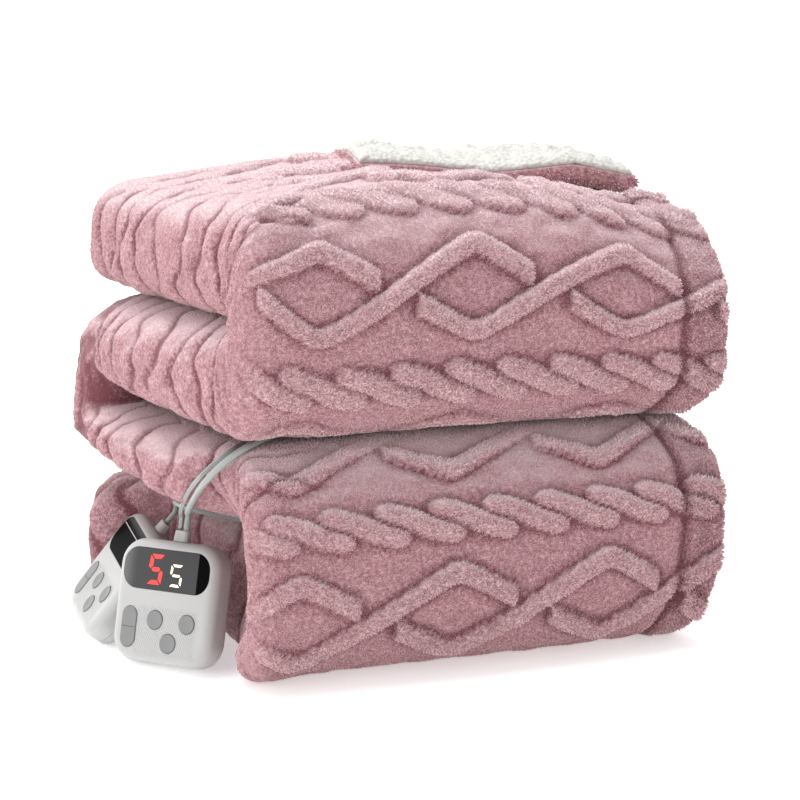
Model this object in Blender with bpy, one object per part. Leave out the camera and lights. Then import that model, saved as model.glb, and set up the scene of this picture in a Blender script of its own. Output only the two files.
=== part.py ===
"""A folded heated blanket with two controllers, in metres, +Z up.

X runs along the front face and Y to the back. The cloth is folded lengthways
into five plies (the section, in x and n), and that strip goes back and forth
in four layers (the run, in y and z). Side A of the cloth is the sculpted
plush. All is built from the front left corner of the stack and then moved, so
that the origin is on the underside, under the middle.
"""

import math

import bmesh
import bpy
import numpy as np
from mathutils import Matrix, Vector

MIDDLE = (0.190, 0.155, 0.0)  # of the stack, which becomes the origin

# The cloth and its folds
CLOTH_HALF = 0.0068          # half the thickness of the cloth
PLY_PITCH = 0.0183           # from one ply to the next
LAYER = 4 * PLY_PITCH + 2 * CLOTH_HALF
UPPER_GAP = 0.003            # between the two layers of the upper bundle
LOWER_GAP = 0.0062           # between those of the lower one, where a lead is put away
BUNDLE_GAP = 0.0072          # between the upper and the lower bundle
LAYER_3 = LAYER + LOWER_GAP                  # undersides of the layers, which are counted from the top
LAYER_2 = LAYER_3 + LAYER + BUNDLE_GAP
LAYER_1 = LAYER_2 + LAYER + UPPER_GAP
WIDTH = 0.395                # from the left fold to the hem at the right
INNER_FOLD_X = 0.383         # right end of the folds under the top ply
DEPTH_STRAIGHT = 0.072       # y at which the front bends start
REAR_END = 0.280             # y of the two loose ends at the back
REAR_BEND_Y = 0.240          # y at which the rear bend starts
FRONT_REACH = 0.072          # how far a front bend comes forward
REAR_REACH = 0.062           # how far the rear bend goes back
BEND_SQUARENESS = 2.6        # 2 is a round bend, more is squarer
LEFT_SQUARENESS = 2.7        # the same for the left folds
TOP_ROWS = 18                # fine rows along the top layer
BEND_ROWS = 24               # fine rows round a front bend
COARSE_ROWS = (3, 4)         # fine rows to a coarse one: on top, round a bend
HIDDEN_ROWS = 5              # rows along a hidden layer
REAR_BEND_ROWS = 6
TOP_PLY_STOPS = (0, 5, 10, 15, 20, 26)   # fine columns of the top ply that its back has too
FLAP_STOPS = 4               # as many of them belong to the turned-back edge
LEFT_FOLD_STEPS = (10, 5)    # steps round the outer left fold: sculpted side, back
INNER_LEFT_STEPS = 4
RIGHT_FOLD_STEPS = 3
INNER_PLY_STOPS = (0.0, 0.36, 1.0)   # columns of the other plies, as shares from the left
INNER_HEM_INSET = 0.004      # of the hidden hem from the middle of the left fold
LEFT_EDGE = {"along": 0.0, "at_front": 0.004}      # x of the left folds
LEFT_SQUASH = {"along": 1.0, "at_front": 0.55}     # roundness of the left folds

# The sculpted pattern
STRAND_HEIGHT = 0.0055
DIAMOND_LENGTH = 0.124       # of one diamond along its row
DIAMOND_SWING = 0.035        # of a strand's middle, up and down
STRAND_WIDTH = 0.021
CROSSING_GAP = 0.017         # from a crossing to the end of the strand below
CABLE_WIDTH = 0.037
CABLE_TURN = 0.043           # of one lobe of the cable along its row
CABLE_SLANT = 0.9            # of a lobe, across its row for each metre along it
CABLE_GROOVE = 0.65          # depth between two lobes, as a share of a strand's height
STRAND_END = 0.004           # over which a strand ends at a crossing
PATTERN_REPEAT = 0.155       # of a diamond row and a cable row
DIAMOND_PHASE = 0.082        # of the first peak from the hem
HEM_WIDTH = 0.032
HEM_RISE = 0.3               # height of the hem's band, as a share of a strand's
HEM_GROOVE = {"depth": 0.0016, "width": 0.006}
HEM_TIP = 0.6                # how far the edge of the cloth is rounded, in half thicknesses
UPPER_FACE_ROW = 0.018       # pattern place at the middle of the upper face
LOWER_FACE_ROW = 0.1155      # and at the middle of the lower one
PATTERN_SKEW = 0.019         # of the pattern to the left, from the upper face to the lower one

# The rear edge that is turned back on top
FLAP_LEFT = 0.190
FLAP_RADIUS = 0.0078
FLAP_BACK = 0.006
FLAP_LENGTH = 0.075
FLAP_EDGE = 0.5              # thickness of its edge, as a share of the cloth's
FLAP_STEPS = 5
CURL_STEPS = 5
LINING_THICK = 0.003
LINING_GAP = 0.0004
LINING_INSET = 0.06          # share of the end columns that the hem keeps bare
TOUCH = 0.0003

# How the folded cloth settles
SAG = {"x": (0.0, 0.042, 0.160), "share": (1.0, 0.8, 0.0), "y": (0.02, 0.27),
       "z": (0.0, LAYER, LAYER_3, LAYER_3 + LAYER, LAYER_2, LAYER_1 - UPPER_GAP, LAYER_1, 0.42),
       "drop": (0.0, -0.030, -0.036, 0.004, -0.003, 0.012, 0.012, 0.016)}
RIGHT_DROOP = {"share": 0.040, "x": (0.160, 0.395)}
TOP_SLOPE = {"right": 0.020, "rear": 0.006}
RIGHT_END = {"x": (0.27, 0.395), "z": (0.0, 0.05, 0.10, 0.15, 0.170, 0.181, 0.20, 0.22, 0.33, 0.37),
             "in": (0.022, 0.009, 0.003, 0.003, 0.010, 0.016, 0.006, 0.0, 0.0, 0.008)}
SHOULDER = {"back": 0.016, "down": 0.007, "x": (0.27, 0.40), "y": (0.0, 0.12), "z": (0.25, 0.36)}
SHARP_LEFT = {"share": 0.5, "y": (0.07, 0.20), "x": (0.0, 0.09), "z": (0.0, 0.08), "low": 0.4}
PINCH = {"rise": 0.018, "reach": 0.045, "z": 0.28, "height": 0.05}
BULGE = {"x": (-0.02, 0.15), "y": (0.03, 0.22),
         "z": (0.0, 0.09, 0.135, 0.23, 0.32), "out": (0.026, 0.028, 0.036, 0.032, 0.020)}
PRESS = {"in": 0.057, "x": (-0.03, 0.20), "y_rise": (0.0, 0.14), "y_fall": (0.24, 0.28),
         "z_fall": (0.080, 0.190)}
REAR_RISE = {"up": 0.012, "x": 0.315, "reach": 0.060, "y": (0.12, 0.24), "z": (0.28, 0.36)}
WAVE = 0.003                 # slight unevenness of all the cloth
CORNER = {"forward": 0.045, "x": (0.29, 0.395), "y": (0.14, 0.30), "z": (0.27, 0.34)}

# The controllers
BODY_WIDTH = 0.091
BODY_HEIGHT = 0.093
BODY_DEPTH = 0.026
BODY_CORNER = 0.020
BODY_EDGE = 0.0080
SEAM_DEPTH = 0.010           # of the back shell
WINDOW_WIDTH = 0.079
WINDOW_HEIGHT = 0.0315
WINDOW_CORNER = 0.013
WINDOW_Y = 0.0243            # middle of the window above the body's middle
WINDOW_DEPTH = 0.0022
KEY_RADIUS = 0.0070
KEY_HEIGHT = 0.0030
KEY_PROUD = 0.0008           # of a key above the face
KEY_DISH = 0.0006
POCKET_DEPTH = 0.0034        # from the face to the floor of a key's pocket
KEYS = {
    "key_1": {"x": -0.0056, "y": -0.0133},
    "key_2": {"x": 0.0238, "y": -0.0137},
    "key_3": {"x": 0.0084, "y": -0.0297},
}
ROCKER = {"x": -0.0289, "y": -0.0206, "width": 0.0130, "height": 0.0305}
ROCKER_HEIGHT = 0.0024
ROCKER_CLEAR = 0.0004
CORNER_STEPS = 4
KEY_RIM = 0.0006             # chamfer of a key's top edge
COLLAR = {"x": 0.0020, "width": 0.0135, "depth": 0.0085, "height": 0.0085, "corner": 0.0034}
COLLAR_TOP = {"width": 0.0119, "depth": 0.0072, "corner": 0.0028}
CONTROLLERS = {
    "controller_1": {"foot": (-0.0285, 0.1025), "turn": -56.0, "lean": 15.5, "roll": 2.3},
    "controller_2": {"foot": (-0.0550, 0.2200), "turn": -93.0, "lean": 37.5, "roll": -7.0},
}

# The leads, each a route from its collar into the folds
LEAD_SIDES = 2
HANKS = {
    "lead_1_twin": {"x": 0.160, "y": 0.160, "straight": 0.060, "width": 0.070,
                    "on": LAYER_3 + LAYER, "gap": BUNDLE_GAP},
    "lead_1_main": {"x": 0.280, "y": 0.160, "straight": 0.050, "width": 0.100,
                    "on": LAYER_3 + LAYER, "gap": BUNDLE_GAP},
    "lead_2_main": {"x": 0.202, "y": 0.165, "straight": 0.050, "width": 0.094,
                    "on": LAYER, "gap": LOWER_GAP},
}
APPROACH = 0.012             # straight end of a lead before its hank
STUB = 2.6                   # straight start of a lead at its collar, in diameters
# Each lead in the open, in world places, then in its gap, as (x, y) before the cloth settles
LEADS = {
    "lead_1_twin": {
        "from": "controller_1", "offset": -0.0032, "diameter": 0.0034,
        "route": ((-0.0008, 0.1197, 0.1184), (-0.0061, 0.0906, 0.1373),
                  (-0.0098, 0.0566, 0.1567), (-0.0014, 0.0474, 0.1692),
                  (0.0107, 0.0452, 0.1783), (0.0233, 0.0551, 0.1809)),
        "inside": ((0.050, 0.088), (0.090, 0.096)),
    },
    "lead_1_main": {
        "from": "controller_1", "offset": 0.0030, "diameter": 0.0050,
        "route": ((0.0014, 0.1103, 0.1189), (-0.0040, 0.0800, 0.1372),
                  (-0.0075, 0.0459, 0.1574), (0.0034, 0.0358, 0.1728),
                  (0.0163, 0.0350, 0.1811), (0.0259, 0.0421, 0.1820)),
        "inside": ((0.060, 0.074), (0.110, 0.084), (0.175, 0.086), (0.212, 0.087)),
    },
    "lead_2_main": {
        "from": "controller_2", "offset": 0.0, "diameter": 0.0043,
        "route": ((0.0210, 0.1930, 0.1040), (0.0150, 0.1750, 0.1090)),
        "inside": ((-0.010, 0.163), (0.012, 0.150), (0.045, 0.128), (0.090, 0.108), (0.125, 0.102)),
    },
}


def smooth_step(value, low, high):
    """0 below low, 1 above high, smooth between."""
    t = np.clip((np.asarray(value, float) - low) / (high - low), 0.0, 1.0)
    return t * t * (3.0 - 2.0 * t)


def layer_heights():
    """z of the middle of each layer, from the top one down."""
    return [low + LAYER / 2 for low in (LAYER_1, LAYER_2, LAYER_3, 0.0)]


def bend_angles(radius, reach, rows):
    """Angles of a bend, from its top to its bottom, evenly spaced along its outside."""
    t = np.linspace(0.0, math.pi, 721)
    across, along = bend_shape(t)
    step = np.hypot(np.diff(reach * across), np.diff(radius * along))
    length = np.concatenate(([0.0], np.cumsum(step)))
    return np.interp(np.linspace(0.0, length[-1], rows + 1), length, t)


def bend_shape(t):
    """A squared half round: how far out and how far up at the angle t."""
    power = 2.0 / BEND_SQUARENESS
    return np.abs(np.sin(t)) ** power, np.sign(np.cos(t)) * np.abs(np.cos(t)) ** power


def run_stations():
    """The rows of the run from the rear end of the top layer to that of the lowest.

    A point at n is at y = base_y + out * r and z = base_z + up * r, where
    r = radius + turn * n.
    """
    first, second, third, fourth = layer_heights()
    rows = []

    def straight(y_from, y_to, z, up, count, coarse_each):
        for i in range(count):
            y = y_from + (y_to - y_from) * i / count
            front = 0.5 * (1.0 - float(smooth_step(y, DEPTH_STRAIGHT, 0.16)))
            rows.append({"base_y": y, "base_z": z, "out": 0.0, "up": up, "radius": 0.0,
                         "turn": 1.0, "coarse": i % coarse_each == 0, "front": front, "bend": 0.0})

    def bend(y, z_over, z_under, turn, reach, count, coarse_each):
        radius = (z_over - z_under) / 2
        outer = radius + LAYER / 2
        forward = turn > 0
        for i, t in enumerate(bend_angles(outer, reach, count)[:-1]):
            across, along = bend_shape(t)
            out = across * reach / outer * (-1.0 if forward else 1.0)
            front = 0.5 + 0.5 * across if forward else 0.0
            rows.append({"base_y": y, "base_z": (z_over + z_under) / 2, "out": out, "up": along,
                         "radius": radius, "turn": turn, "coarse": i % coarse_each == 0,
                         "front": front, "bend": across})

    straight(REAR_END, DEPTH_STRAIGHT, first, 1.0, TOP_ROWS, COARSE_ROWS[0])
    bend(DEPTH_STRAIGHT, first, second, 1.0, FRONT_REACH, BEND_ROWS, COARSE_ROWS[1])
    straight(DEPTH_STRAIGHT, REAR_BEND_Y, second, -1.0, HIDDEN_ROWS, 1)
    bend(REAR_BEND_Y, second, third, -1.0, REAR_REACH, REAR_BEND_ROWS, 1)
    straight(REAR_BEND_Y, DEPTH_STRAIGHT, third, 1.0, HIDDEN_ROWS, 1)
    bend(DEPTH_STRAIGHT, third, fourth, 1.0, FRONT_REACH, BEND_ROWS, COARSE_ROWS[1])
    straight(DEPTH_STRAIGHT, REAR_END, fourth, -1.0, HIDDEN_ROWS, 1)
    rows.append(dict(rows[-1], base_y=REAR_END, front=0.0))
    return {key: np.array([row[key] for row in rows]) for key in rows[0]}


def place(run, x, n):
    """Points of the folded cloth before it settles, for each row and column."""
    columns = (slice(None), None)
    r = run["radius"][columns] + run["turn"][columns] * n
    y = run["base_y"][columns] + run["out"][columns] * r
    z = run["base_z"][columns] + run["up"][columns] * r
    return np.stack((x, y, z), axis=-1)


def pattern_rows(run):
    """Place of each row in the sculpted pattern, counted along the run."""
    outer = place(run, np.zeros((len(run["out"]), 1)), np.full((len(run["out"]), 1), LAYER / 2))
    step = np.linalg.norm(np.diff(outer[:, 0, :], axis=0), axis=1)
    length = np.concatenate(([0.0], np.cumsum(step)))
    upper = TOP_ROWS + BEND_ROWS // 2
    lower = len(length) - 1 - HIDDEN_ROWS - BEND_ROWS // 2
    hidden_repeats = round((length[lower] - length[upper]) / PATTERN_REPEAT)
    lower_place = LOWER_FACE_ROW + hidden_repeats * PATTERN_REPEAT
    pace = (lower_place - UPPER_FACE_ROW) / (length[lower] - length[upper])
    hidden = UPPER_FACE_ROW + (length - length[upper]) * pace
    on_top = UPPER_FACE_ROW + (length - length[upper])
    below = lower_place + (length - length[lower])
    return np.where(length < length[upper], on_top, np.where(length > length[lower], below, hidden))


def round_ridge(distance, half_width):
    """A round-backed ridge, 1 along its middle and 0 past its half width."""
    inside = np.clip(1.0 - (distance / half_width) ** 2, 0.0, 1.0)
    return np.sqrt(inside)


def sculpted_height(u, row):
    """Height of the plush at u from the hem and at a place of the pattern.

    Rows of interlaced diamonds take turns with rows of a two-strand cable.
    """
    beat = (row + PATTERN_REPEAT / 2) % PATTERN_REPEAT - PATTERN_REPEAT / 2
    half = DIAMOND_LENGTH
    slope = 2 * DIAMOND_SWING / half
    across = math.cos(math.atan(slope))
    height = np.zeros(np.broadcast(u, row).shape)
    for shift in (0.0, half):
        travel = (u - DIAMOND_PHASE + shift) / (2 * half) % 1.0
        middle = DIAMOND_SWING * (1.0 - 4.0 * np.abs(travel - 0.5))
        over = travel < 0.5
        from_crossing = np.abs(np.abs(travel - 0.5) - 0.25) * 2 * half
        ridge = round_ridge((beat - middle) * across, STRAND_WIDTH / 2)
        shown = np.where(over, 1.0, smooth_step(from_crossing, CROSSING_GAP - STRAND_END, CROSSING_GAP))
        height = np.maximum(height, ridge * shown)
    from_cable = np.abs(beat) - PATTERN_REPEAT / 2
    signed = np.where(beat > 0, beat - PATTERN_REPEAT / 2, beat + PATTERN_REPEAT / 2)
    lobe = np.abs(np.cos(math.pi * (u + CABLE_SLANT * signed) / CABLE_TURN)) ** 0.6
    cable = round_ridge(from_cable, CABLE_WIDTH / 2) * (1.0 - CABLE_GROOVE + CABLE_GROOVE * lobe)
    return STRAND_HEIGHT * np.maximum(height, cable)


def hem_height(u):
    """A low fluffy band along the hem, with the groove of its seam."""
    wide = HEM_GROOVE["width"]
    band = HEM_RISE * STRAND_HEIGHT * (1.0 - smooth_step(u, HEM_WIDTH - wide, HEM_WIDTH))
    return band - HEM_GROOVE["depth"] * np.exp(-(((u - HEM_WIDTH) / wide) ** 2))


def section_columns(run):
    """Columns of side A and of side B, each as x and n for every row of the run.

    The path starts at the hem of the top ply, at the right, and ends at the
    hidden hem. Stops are the places that both sides share.
    """
    rows = len(run["out"])
    front = run["front"]
    squash = LEFT_SQUASH["along"] + (LEFT_SQUASH["at_front"] - LEFT_SQUASH["along"]) * front
    edge = LEFT_EDGE["along"] + (LEFT_EDGE["at_front"] - LEFT_EDGE["along"]) * front
    outer_radius = 2 * PLY_PITCH + CLOTH_HALF
    ends = {
        "hem": np.full(rows, WIDTH),
        "right": np.full(rows, INNER_FOLD_X - PLY_PITCH / 2 - CLOTH_HALF),
        "left": edge + squash * outer_radius,
    }
    ends["inner_hem"] = ends["left"] + INNER_HEM_INSET
    sides = {"A": [], "B": []}
    stops = {"A": [0], "B": [0]}

    def flat(ply, side_a, start, end, fractions_a, fractions_b):
        for side, sign in (("A", side_a), ("B", -side_a)):
            n = ply * PLY_PITCH + sign * CLOTH_HALF
            fractions = fractions_a if side == "A" else fractions_b
            first = 1 if sides[side] else 0
            for fraction in fractions[first:]:
                x = ends[start] + (ends[end] - ends[start]) * fraction
                sides[side].append((x, np.full(rows, n)))

    def fold(end, middle, radius, side_a, from_angle, to_angle, steps_a, steps_b):
        for side, sign, steps in (("A", side_a, steps_a), ("B", -side_a, steps_b)):
            r = radius + sign * CLOTH_HALF
            left = end == "left"
            for i in range(1, steps + 1):
                angle = math.radians(from_angle + (to_angle - from_angle) * i / steps)
                reach = -squash * r if left else np.full(rows, r)
                power = 2.0 / LEFT_SQUARENESS if left else 1.0
                across = max(math.cos(angle), 0.0) ** power
                along = math.copysign(abs(math.sin(angle)) ** power, angle)
                x = ends[end] + reach * across
                sides[side].append((x, np.full(rows, middle * PLY_PITCH + r * along)))

    def inner_ply(ply, side_a, start, end):
        shares = INNER_PLY_STOPS if start == "left" else [1.0 - share for share in INNER_PLY_STOPS[::-1]]
        flat(ply, side_a, start, end, shares, shares)

    top_fractions = np.array(TOP_PLY_STOPS) / TOP_PLY_STOPS[-1]
    flat(2, 1, "hem", "left", np.linspace(0.0, 1.0, TOP_PLY_STOPS[-1] + 1), top_fractions)
    fold("left", 0.0, 2 * PLY_PITCH, 1, 90, -90, *LEFT_FOLD_STEPS)
    fine = len(sides["A"])
    inner_ply(-2, -1, "left", "right")
    fold("right", -1.5, PLY_PITCH / 2, 1, -90, 90, RIGHT_FOLD_STEPS, RIGHT_FOLD_STEPS)
    inner_ply(-1, 1, "right", "left")
    fold("left", 0.0, PLY_PITCH, -1, -90, 90, INNER_LEFT_STEPS, INNER_LEFT_STEPS)
    inner_ply(1, -1, "left", "right")
    fold("right", 0.5, PLY_PITCH / 2, -1, 90, -90, RIGHT_FOLD_STEPS, RIGHT_FOLD_STEPS)
    inner_ply(0, 1, "right", "inner_hem")

    per_stop = LEFT_FOLD_STEPS[0] // LEFT_FOLD_STEPS[1]
    left_fold = range(TOP_PLY_STOPS[-1] + per_stop, fine, per_stop)
    stops["A"] = list(TOP_PLY_STOPS) + list(left_fold) + list(range(fine, len(sides["A"])))
    stops["B"] = list(range(len(sides["B"])))
    return sides, stops, fine


def cloth_grid(run):
    """Settled points of both sides, with the tips of the two hems, and the stops."""
    sides, stops, fine = section_columns(run)
    x_a, n_a = (np.stack([column[k] for column in sides["A"]], axis=1) for k in (0, 1))
    x_b, n_b = (np.stack([column[k] for column in sides["B"]], axis=1) for k in (0, 1))
    step = np.hypot(np.diff(x_a[:, :fine], axis=1), np.diff(n_a[:, :fine], axis=1))
    u = np.concatenate((np.zeros((len(x_a), 1)), np.cumsum(step, axis=1)), axis=1)
    place_in_run = np.arange(len(x_a)) - (TOP_ROWS + BEND_ROWS // 2)
    faces_apart = len(x_a) - 1 - HIDDEN_ROWS - BEND_ROWS // 2 - (TOP_ROWS + BEND_ROWS // 2)
    skew = PATTERN_SKEW * np.clip(place_in_run / faces_apart, 0.0, 1.0)[:, None]
    height = sculpted_height(u - skew, pattern_rows(run)[:, None]) + hem_height(u)
    height *= relief_shown(run, x_a[:, :fine])
    height *= smooth_step(n_a[:, :fine], -0.95 * LAYER / 2, -0.5 * LAYER / 2)
    left = TOP_PLY_STOPS[-1]
    outward = np.where(np.arange(fine) <= left, 0.0, 1.0)[None, :]
    radius = 2 * PLY_PITCH + CLOTH_HALF
    cosine = np.sqrt(np.clip(1.0 - (n_a[:, :fine] / radius) ** 2, 0.0, 1.0)) * outward
    x_a[:, :fine] -= height * cosine
    n_a[:, :fine] += height * n_a[:, :fine] / radius
    tip = HEM_TIP * CLOTH_HALF
    hem_x = np.full((len(x_a), 1), WIDTH + tip)
    hem_n = np.full((len(x_a), 1), 2 * PLY_PITCH)
    inner_x = x_a[:, -1:] - tip
    points = {
        "A": settle(place(run, x_a, n_a)),
        "B": settle(place(run, x_b, n_b)),
        "hem": settle(place(run, hem_x, hem_n)),
        "inner_hem": settle(place(run, inner_x, np.zeros_like(inner_x))),
    }
    return points, stops, fine, (x_a[0], x_b[0])


def relief_shown(run, x):
    """1 where the plush stands free, 0 where the cloth lies on cloth or on the floor."""
    first, second, third, fourth = layer_heights()
    z = run["base_z"] + run["up"] * (run["radius"] + run["turn"] * LAYER / 2)
    free = smooth_step(run["bend"], 0.2, 0.75) * (run["turn"] > 0)
    top = smooth_step(z, first - 0.02, first + 0.02)
    shown = np.maximum(free, top)[:, None]
    y = run["base_y"][:, None]
    under_flap = (smooth_step(x, FLAP_LEFT - 0.02, FLAP_LEFT)
                  * smooth_step(y, REAR_END - FLAP_LENGTH - 0.03, REAR_END - FLAP_LENGTH - 0.01))
    return shown * (1.0 - 0.9 * under_flap)


def settle(points):
    """The cloth after it settles: left folds sag and bulge, the pile leans a little.

    It leaves the underside at z = 0.
    """
    x, y, z = points[..., 0], points[..., 1], points[..., 2]
    near_left = np.interp(x, SAG["x"], SAG["share"])
    toward_rear = smooth_step(y, *SAG["y"])
    drop = np.interp(z, SAG["z"], SAG["drop"])
    lean_right = RIGHT_DROOP["share"] * np.interp(x, RIGHT_DROOP["x"], (0.0, 1.0))
    new_z = (z - near_left * toward_rear * drop) * (1.0 - lean_right)
    upper = smooth_step(z, 0.20, 0.37)
    new_z -= upper * TOP_SLOPE["right"] * smooth_step(x, 0.22, WIDTH)
    new_z -= upper * TOP_SLOPE["rear"] * smooth_step(y, 0.06, 0.28)

    rise = REAR_RISE["up"] * np.exp(-(((x - REAR_RISE["x"]) / REAR_RISE["reach"]) ** 2))
    new_z += rise * smooth_step(y, *REAR_RISE["y"]) * smooth_step(z, *REAR_RISE["z"])
    pinch = np.exp(-(x ** 2 + y ** 2) / PINCH["reach"] ** 2)
    new_z += PINCH["rise"] * pinch * np.exp(-(((z - PINCH["z"]) / PINCH["height"]) ** 2))

    bulge = np.interp(z, BULGE["z"], BULGE["out"]) * (1.0 - smooth_step(x, *BULGE["x"]))
    bulge = bulge * smooth_step(y, *BULGE["y"])
    press = PRESS["in"] * (1.0 - smooth_step(x, *PRESS["x"]))
    press = press * smooth_step(y, *PRESS["y_rise"]) * (1.0 - smooth_step(y, *PRESS["y_fall"]))
    press = press * (1.0 - smooth_step(z, *PRESS["z_fall"]))
    end = np.interp(z, RIGHT_END["z"], RIGHT_END["in"]) * smooth_step(x, *RIGHT_END["x"])
    new_x = x - bulge + press - end + WAVE * np.sin(19.0 * z + 7.0 * y)

    corner = smooth_step(x, *CORNER["x"]) * smooth_step(y, *CORNER["y"])
    corner = corner * smooth_step(z, *CORNER["z"])
    shoulder = smooth_step(x, *SHOULDER["x"]) * (1.0 - smooth_step(y, *SHOULDER["y"]))
    shoulder = shoulder * smooth_step(z, *SHOULDER["z"])
    new_z = new_z - SHOULDER["down"] * shoulder
    sharp = SHARP_LEFT["share"] * (1.0 - smooth_step(y, *SHARP_LEFT["y"]))
    sharp = sharp * (1.0 - smooth_step(x, *SHARP_LEFT["x"]))
    sharp = sharp * (SHARP_LEFT["low"] + (1.0 - SHARP_LEFT["low"]) * smooth_step(z, *SHARP_LEFT["z"]))
    new_y = y * (1.0 - sharp * (y > 0)) - CORNER["forward"] * corner
    new_y = new_y + SHOULDER["back"] * shoulder
    new_y = new_y + WAVE * np.sin(15.0 * x + 11.0 * z + 0.6)
    return np.stack((new_x, new_y, new_z), axis=-1)


def flap_path():
    """Middle line of the turned-back edge past the rear end, with its side A normal."""
    top = layer_heights()[0] + 2 * PLY_PITCH
    path = []
    for i in range(CURL_STEPS + 1):
        angle = math.pi * i / CURL_STEPS
        y = REAR_END + FLAP_BACK + FLAP_RADIUS * math.sin(angle)
        z = top + FLAP_RADIUS * (1.0 - math.cos(angle))
        path.append((y, z, -math.sin(angle), math.cos(angle), CLOTH_HALF))
    for i in range(1, FLAP_STEPS + 1):
        part = i / FLAP_STEPS
        y = REAR_END + FLAP_BACK - FLAP_LENGTH * part
        half = CLOTH_HALF * (1.0 - (1.0 - FLAP_EDGE) * part)
        path.append((y, top + 2 * FLAP_RADIUS + half - CLOTH_HALF, 0.0, -1.0, half))
    return path


def flap_points(x, sign):
    """Settled points of the turned-back edge at the places x, on one side of it."""
    points = []
    for y, z, normal_y, normal_z, half in flap_path():
        offset = sign * half
        row = [(value, y + offset * normal_y, z + offset * normal_z) for value in x]
        points.append(row)
    return settle(np.array(points))


class Shell:
    """Points and faces of one closed mesh."""

    def __init__(self):
        self.points = []
        self.faces = []

    def add_point(self, point):
        self.points.append(tuple(float(value) for value in point))
        return len(self.points) - 1

    def add_grid(self, grid, rows):
        """Add the chosen rows of a grid and give their numbers, a list for each column."""
        columns = []
        for j in range(grid.shape[1]):
            columns.append({i: self.add_point(grid[i, j]) for i in rows})
        return columns

    def add_face(self, *corners):
        self.faces.append(corners)

    def add_band(self, first, second):
        """Quads between two lists of equal length."""
        for i in range(len(first) - 1):
            self.add_face(first[i], first[i + 1], second[i + 1], second[i])

    def add_fan(self, fine, first, last):
        """Triangles from a fine row of points to one coarse edge, first to last."""
        middle = len(fine) // 2
        for i in range(middle):
            self.add_face(fine[i], fine[i + 1], first)
        self.add_face(fine[middle], last, first)
        for i in range(middle, len(fine) - 1):
            self.add_face(fine[i], fine[i + 1], last)

    def mesh(self, name):
        data = bpy.data.meshes.new(name)
        data.from_pydata(self.points, [], self.faces)
        shape = bmesh.new()
        shape.from_mesh(data)
        bmesh.ops.triangulate(shape, faces=shape.faces)
        bmesh.ops.recalc_face_normals(shape, faces=shape.faces)
        shape.to_mesh(data)
        shape.free()
        return data


def blanket_mesh():
    """The whole cloth as one closed solid, with the turned-back edge."""
    run = run_stations()
    points, stops, fine, (x_a, x_b) = cloth_grid(run)
    every = list(range(len(run["out"])))
    coarse = [i for i in every if run["coarse"][i]]
    shell = Shell()
    side_a = shell.add_grid(points["A"][:, :fine], every)
    side_a += shell.add_grid(points["A"][:, fine:], coarse)
    side_b = shell.add_grid(points["B"], coarse)
    hem = shell.add_grid(points["hem"], coarse)[0]
    inner_hem = shell.add_grid(points["inner_hem"], coarse)[0]

    def rows_of(column, rows):
        return [column[i] for i in rows]

    for j in range(fine - 1):
        shell.add_band(rows_of(side_a[j], every), rows_of(side_a[j + 1], every))
    for low, high in zip(coarse[:-1], coarse[1:]):
        between = range(low, high + 1)
        shell.add_fan(rows_of(side_a[0], between), hem[low], hem[high])
        shell.add_fan(rows_of(side_a[fine - 1], between), side_a[fine][low], side_a[fine][high])
    loop = side_a[fine:] + [inner_hem] + side_b[::-1] + [hem]
    for first, second in zip(loop[:-1], loop[1:]):
        shell.add_band(rows_of(first, coarse), rows_of(second, coarse))

    def add_cap(row, first_stop):
        for k in range(first_stop, len(stops["A"]) - 1):
            between = range(stops["A"][k], stops["A"][k + 1] + 1)
            fine_edge = [side_a[j][row] for j in between]
            b_first, b_last = side_b[stops["B"][k]][row], side_b[stops["B"][k + 1]][row]
            shell.add_fan(fine_edge, b_first, b_last)
        shell.add_face(side_a[-1][row], inner_hem[row], side_b[-1][row])

    last = every[-1]
    add_cap(last, 0)
    shell.add_face(side_a[0][last], hem[last], side_b[0][last])
    add_cap(0, FLAP_STOPS - 1)

    flap_columns = stops["A"][FLAP_STOPS - 1] + 1
    ring = [side_a[j][0] for j in range(flap_columns)][::-1] + [hem[0]]
    ring += [side_b[k][0] for k in range(FLAP_STOPS)]
    over = flap_points(x_a[:flap_columns][::-1], 1.0)
    tip = flap_points([WIDTH + HEM_TIP * CLOTH_HALF], 0.0)
    under = flap_points(x_b[:FLAP_STOPS], -1.0)
    around = np.concatenate((over, tip, under), axis=1)
    for row in around:
        following = [shell.add_point(point) for point in row]
        shell.add_band(ring + ring[:1], following + following[:1])
        ring = following
    for k in range(FLAP_STOPS - 1):
        low, high = stops["A"][k], stops["A"][k + 1]
        edge = [ring[flap_columns - 1 - j] for j in range(low, high + 1)]
        back = flap_columns + 1 + k
        shell.add_fan(edge, ring[back], ring[back + 1])
    shell.add_face(ring[flap_columns - 1], ring[flap_columns], ring[flap_columns + 1])
    return shell.mesh("blanket_cloth"), under


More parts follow.
